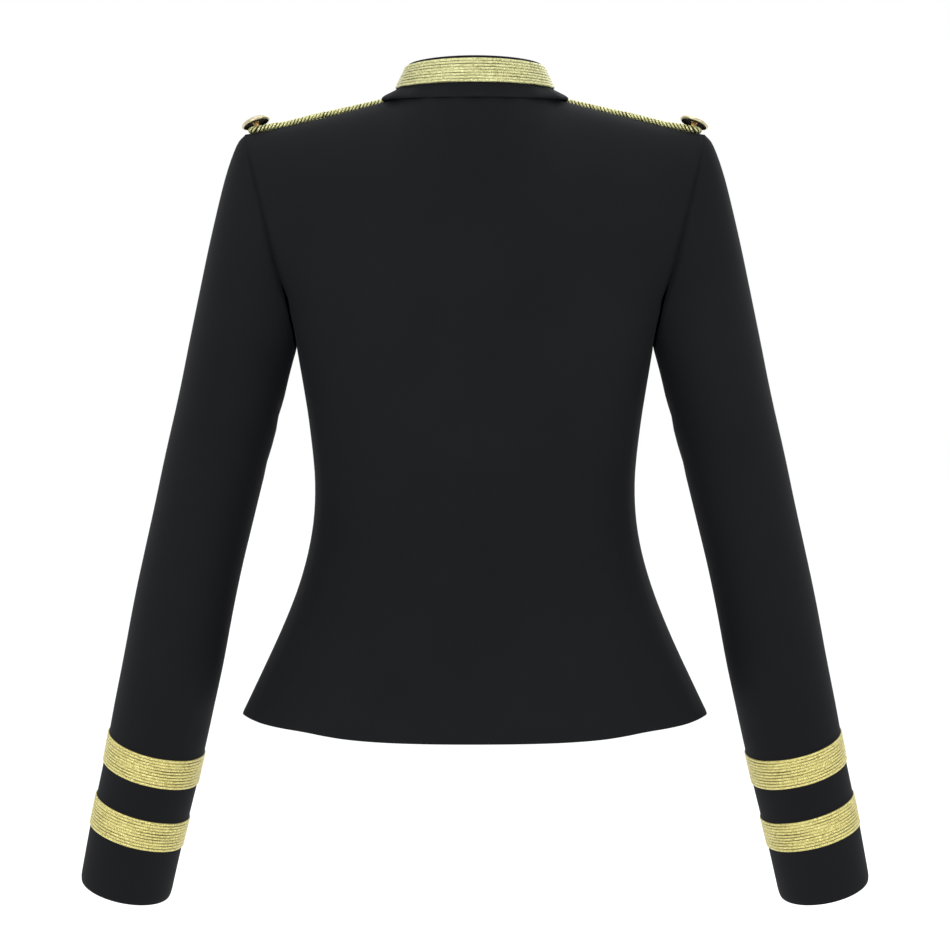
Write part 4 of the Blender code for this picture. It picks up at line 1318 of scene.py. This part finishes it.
class Finish:
    """A procedural material in the making."""

    def __init__(self, name, **values):
        self.made = bpy.data.materials.new(name)
        self.made.use_nodes = True
        self.tree = self.made.node_tree
        self.shader = self.tree.nodes["Principled BSDF"]
        for key, value in values.items():
            self.shader.inputs[key.replace("_", " ")].default_value = value

    def add(self, kind, vector=None, **values):
        """A node with its values, which reads a vector if one is given."""
        node = self.tree.nodes.new(kind)
        for key, value in values.items():
            if key in node.inputs:
                node.inputs[key].default_value = value
            else:
                setattr(node, key, value)
        if vector is not None:
            self.tree.links.new(vector, node.inputs["Vector"])
        return node

    def flat(self):
        return self.add("ShaderNodeUVMap", uv_map="UVMap").outputs[0]

    def speckle(self, vector=None, **values):
        """Noise over a vector, or else over the object's own coordinates."""
        if vector is None:
            vector = self.add("ShaderNodeTexCoord").outputs["Object"]
        return self.add("ShaderNodeTexNoise", vector, **values).outputs[0]

    def stripes(self, direction, **values):
        bands = self.add("ShaderNodeTexWave", self.flat(), bands_direction=direction, **values)
        return bands.outputs["Fac"]

    def calc(self, operation, *values, kind="ShaderNodeMath"):
        """One step of arithmetic on sockets and numbers."""
        node = self.add(kind, operation=operation)
        for place, value in enumerate(values):
            if isinstance(value, bpy.types.NodeSocket):
                self.tree.links.new(value, node.inputs[place])
            else:
                node.inputs[place].default_value = value
        return node.outputs[0]

    def times(self, first, second):
        """Product of two vectors or colours."""
        return self.calc("MULTIPLY", first, second, kind="ShaderNodeVectorMath")

    def ramp(self, source, stops):
        node = self.add("ShaderNodeValToRGB")
        while len(node.color_ramp.elements) < len(stops):
            node.color_ramp.elements.new(0.5)
        for element, (place, colour) in zip(node.color_ramp.elements, stops):
            element.position = place
            element.color = (*colour, 1)
        self.tree.links.new(source, node.inputs[0])
        return node.outputs[0]

    def grey(self, source, low, high):
        return self.ramp(source, ((0, (low,) * 3), (1, (high,) * 3)))

    def done(self, height, strength, distance, **sources):
        """Lead a bump and these sockets to the shader, and return the material."""
        bump = self.add("ShaderNodeBump", Strength=strength, Distance=distance)
        self.tree.links.new(height, bump.inputs["Height"])
        sources["Normal"] = bump.outputs[0]
        for key, source in sources.items():
            self.tree.links.new(source, self.shader.inputs[key.replace("_", " ")])
        return self.made


def crepe_material():
    """Matt black stretch crepe: fine pebbled threads, faint cloudy tone, a soft sheen."""
    crepe = Finish("crepe", Specular_IOR_Level=0.11, Sheen_Weight=0.015, Sheen_Roughness=0.45,
                   Sheen_Tint=(0.8, 0.86, 1.0, 1))
    clouds = crepe.speckle(Scale=9.0, Detail=3.0, Roughness=0.5)
    pebble = crepe.speckle(Scale=900.0, Detail=2.0, Roughness=0.6)
    threads = [crepe.stripes(direction, Scale=420.0, Distortion=2.0) for direction in "XY"]
    weave = crepe.calc("MAXIMUM", *threads)
    height = crepe.calc("ADD", crepe.calc("MULTIPLY", weave, 0.5), pebble)
    return crepe.done(height, strength=0.35, distance=0.00012,
                      Base_Color=crepe.ramp(clouds, CLOTH_TONES),
                      Roughness=crepe.grey(pebble, 0.78, 0.95))


def gold_material(name, pitch, tones, rib, painted_groove_shading, streak=1.0):
    """Metallic gold thread laid aslant, with painted shade in the grooves between its ribs or strands.
    """
    gold = Finish(name, Metallic=0.45)
    flat = gold.flat()
    along, across = gold.add("ShaderNodeSeparateXYZ", flat).outputs[:2]
    slant = gold.calc("MULTIPLY", gold.calc("PINGPONG", across, rib), THREAD_SLANT)
    path = gold.calc("ADD", along, slant)
    thread = gold.calc("SINE", gold.calc("MULTIPLY", path, tau / pitch))
    speck = gold.speckle(Scale=1050.0, Detail=2.0, Roughness=0.7)
    sparkle = gold.calc("MULTIPLY", gold.calc("SUBTRACT", speck, 0.5), SPARKLE)
    shown = gold.calc("MULTIPLY", thread, THREAD_SHOW)
    mixed = gold.calc("ADD", shown, gold.calc("ADD", sparkle, 0.5))
    groove = gold.calc("SINE", gold.calc("MULTIPLY", across, pi / rib))
    drawn = gold.times(flat, (streak, 1, 1))
    patch = gold.speckle(drawn, Scale=240.0, Detail=1.0, Roughness=0.5)
    drift = gold.calc("SUBTRACT", patch, 0.5)
    # Painted shade: darkens the base colour in the grooves between ribs or strands, in patches along
    # them
    depth = gold.ramp(gold.calc("ADD", gold.calc("ABSOLUTE", groove), drift), painted_groove_shading)
    return gold.done(mixed, strength=0.6, distance=0.00025,
                     Base_Color=gold.times(gold.ramp(mixed, tones), depth),
                     Roughness=gold.grey(mixed, 0.5, 0.3))


def brass_material():
    """Silvery brass with fine wear, its darker patches also painted reflection streaks, a hollow back
    painted near-black for its shade, and a coppery shank.
    """
    brass = Finish("pale_brass", Metallic=1.0)
    across = brass.add("ShaderNodeSeparateXYZ", brass.flat()).outputs[0]
    part = brass.calc("MULTIPLY", across, 0.5 / (PART_STEP * MM))
    # Random patches of wear, the darker ones also painted dark reflection streaks; the same noise sets
    # roughness and bump
    wear_and_painted_reflections = brass.speckle(Scale=260.0, Detail=5.0, Roughness=0.65)
    shaded = brass.times(brass.ramp(wear_and_painted_reflections, BRASS_TONES), brass.ramp(part, BRASS_PARTS_AND_HOLLOW_SHADE))
    dull = brass.calc("ADD", brass.grey(wear_and_painted_reflections, 0.18, 0.36), brass.ramp(part, BRASS_DULL))
    return brass.done(wear_and_painted_reflections, strength=0.08, distance=0.0001, Base_Color=shaded, Roughness=dull)


def twist_material():
    """Black buttonhole twist, stitch beside stitch."""
    twist = Finish("black_twist", Roughness=0.5)
    stitch = twist.stripes("X", Scale=500.0, Distortion=0.5)
    colour = twist.ramp(stitch, TWIST_TONES)
    return twist.done(stitch, strength=0.6, distance=0.0003, Base_Color=colour)


# Stage, light and camera

def build_floor():
    mesh = bpy.data.meshes.new("floor")
    mesh.from_pydata([(x * FLOOR_REACH, y * FLOOR_REACH, FLOOR_Z)
                      for x, y in ((-1, -1), (1, -1), (1, 1), (-1, 1))], [], [(0, 1, 2, 3)])
    pale = Finish("pale_floor", Base_Color=(0.97, 0.97, 0.97, 1), Emission_Color=(1, 1, 1, 1),
                  Emission_Strength=0.08, Roughness=0.9)
    mesh.materials.append(pale.made)
    place_object("floor", mesh)


def aim(item, place, target):
    """Put a light or a camera at a place and turn it to a target."""
    item.location = place
    item.rotation_euler = (Vector(target) - Vector(place)).to_track_quat("-Z", "Y").to_euler()


def build_studio():
    scene = bpy.context.scene
    scene.world = bpy.data.worlds.new("studio")
    scene.world.use_nodes = True
    back = scene.world.node_tree.nodes["Background"]
    back.inputs[0].default_value = (1.0, 1.0, 1.0, 1)
    back.inputs[1].default_value = 1.0
    scene.view_settings.view_transform = "Standard"
    for name, (x, y, z, power, size) in LIGHTS.items():
        data = bpy.data.lights.new(name, "AREA")
        data.energy = power
        data.size = size
        aim(place_object(name, data), (x, y, z), LIGHT_AIM)
    data = bpy.data.cameras.new("camera")
    data.lens = CAMERA_LENS
    scene.camera = place_object("camera", data)
    tilt = radians(CAMERA_TILT)
    away = Vector((0, cos(tilt), sin(tilt))) * CAMERA_DISTANCE
    aim(scene.camera, Vector(CAMERA_AIM) + away, CAMERA_AIM)


def dress():
    crepe = crepe_material()
    braid = (RIB_PITCH * MM, BRAID_GROOVE_SHADE, BRAID_STREAK)
    gold = gold_material("cuff_gold", THREAD_PITCH, CUFF_TONES, *braid)
    pale = gold_material("collar_gold", THREAD_PITCH, COLLAR_TONES, *braid)
    rope = gold_material("rope_gold", ROPE_THREAD_PITCH, COLLAR_TONES, STRAND_ROUND * MM, ROPE_STRAND_LIGHT_AND_SHADE)
    brass = brass_material()
    build_floor()
    build_studio()
    cloth, skins, normals = build_body(crepe)
    on_cloth = {name: [] for name in cloth}
    for side, label in ((1, "left"), (-1, "right")):
        name = f"sleeve_{label}"
        cloth[name] = build_sleeve(side, label, normals, crepe)
        on_cloth[name] = build_cuff_braids(side, label, gold)
    cloth["collar"], trim = build_collar(crepe, pale)
    on_cloth["collar"] = [trim]
    shoulders = build_shoulders(skins, rope, brass)
    on_cloth["front_left"] = shoulders["left"]
    on_cloth["front_right"] = shoulders["right"] + build_front(skins, brass, twist_material())
    for name, piece in cloth.items():
        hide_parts(name)


dress()
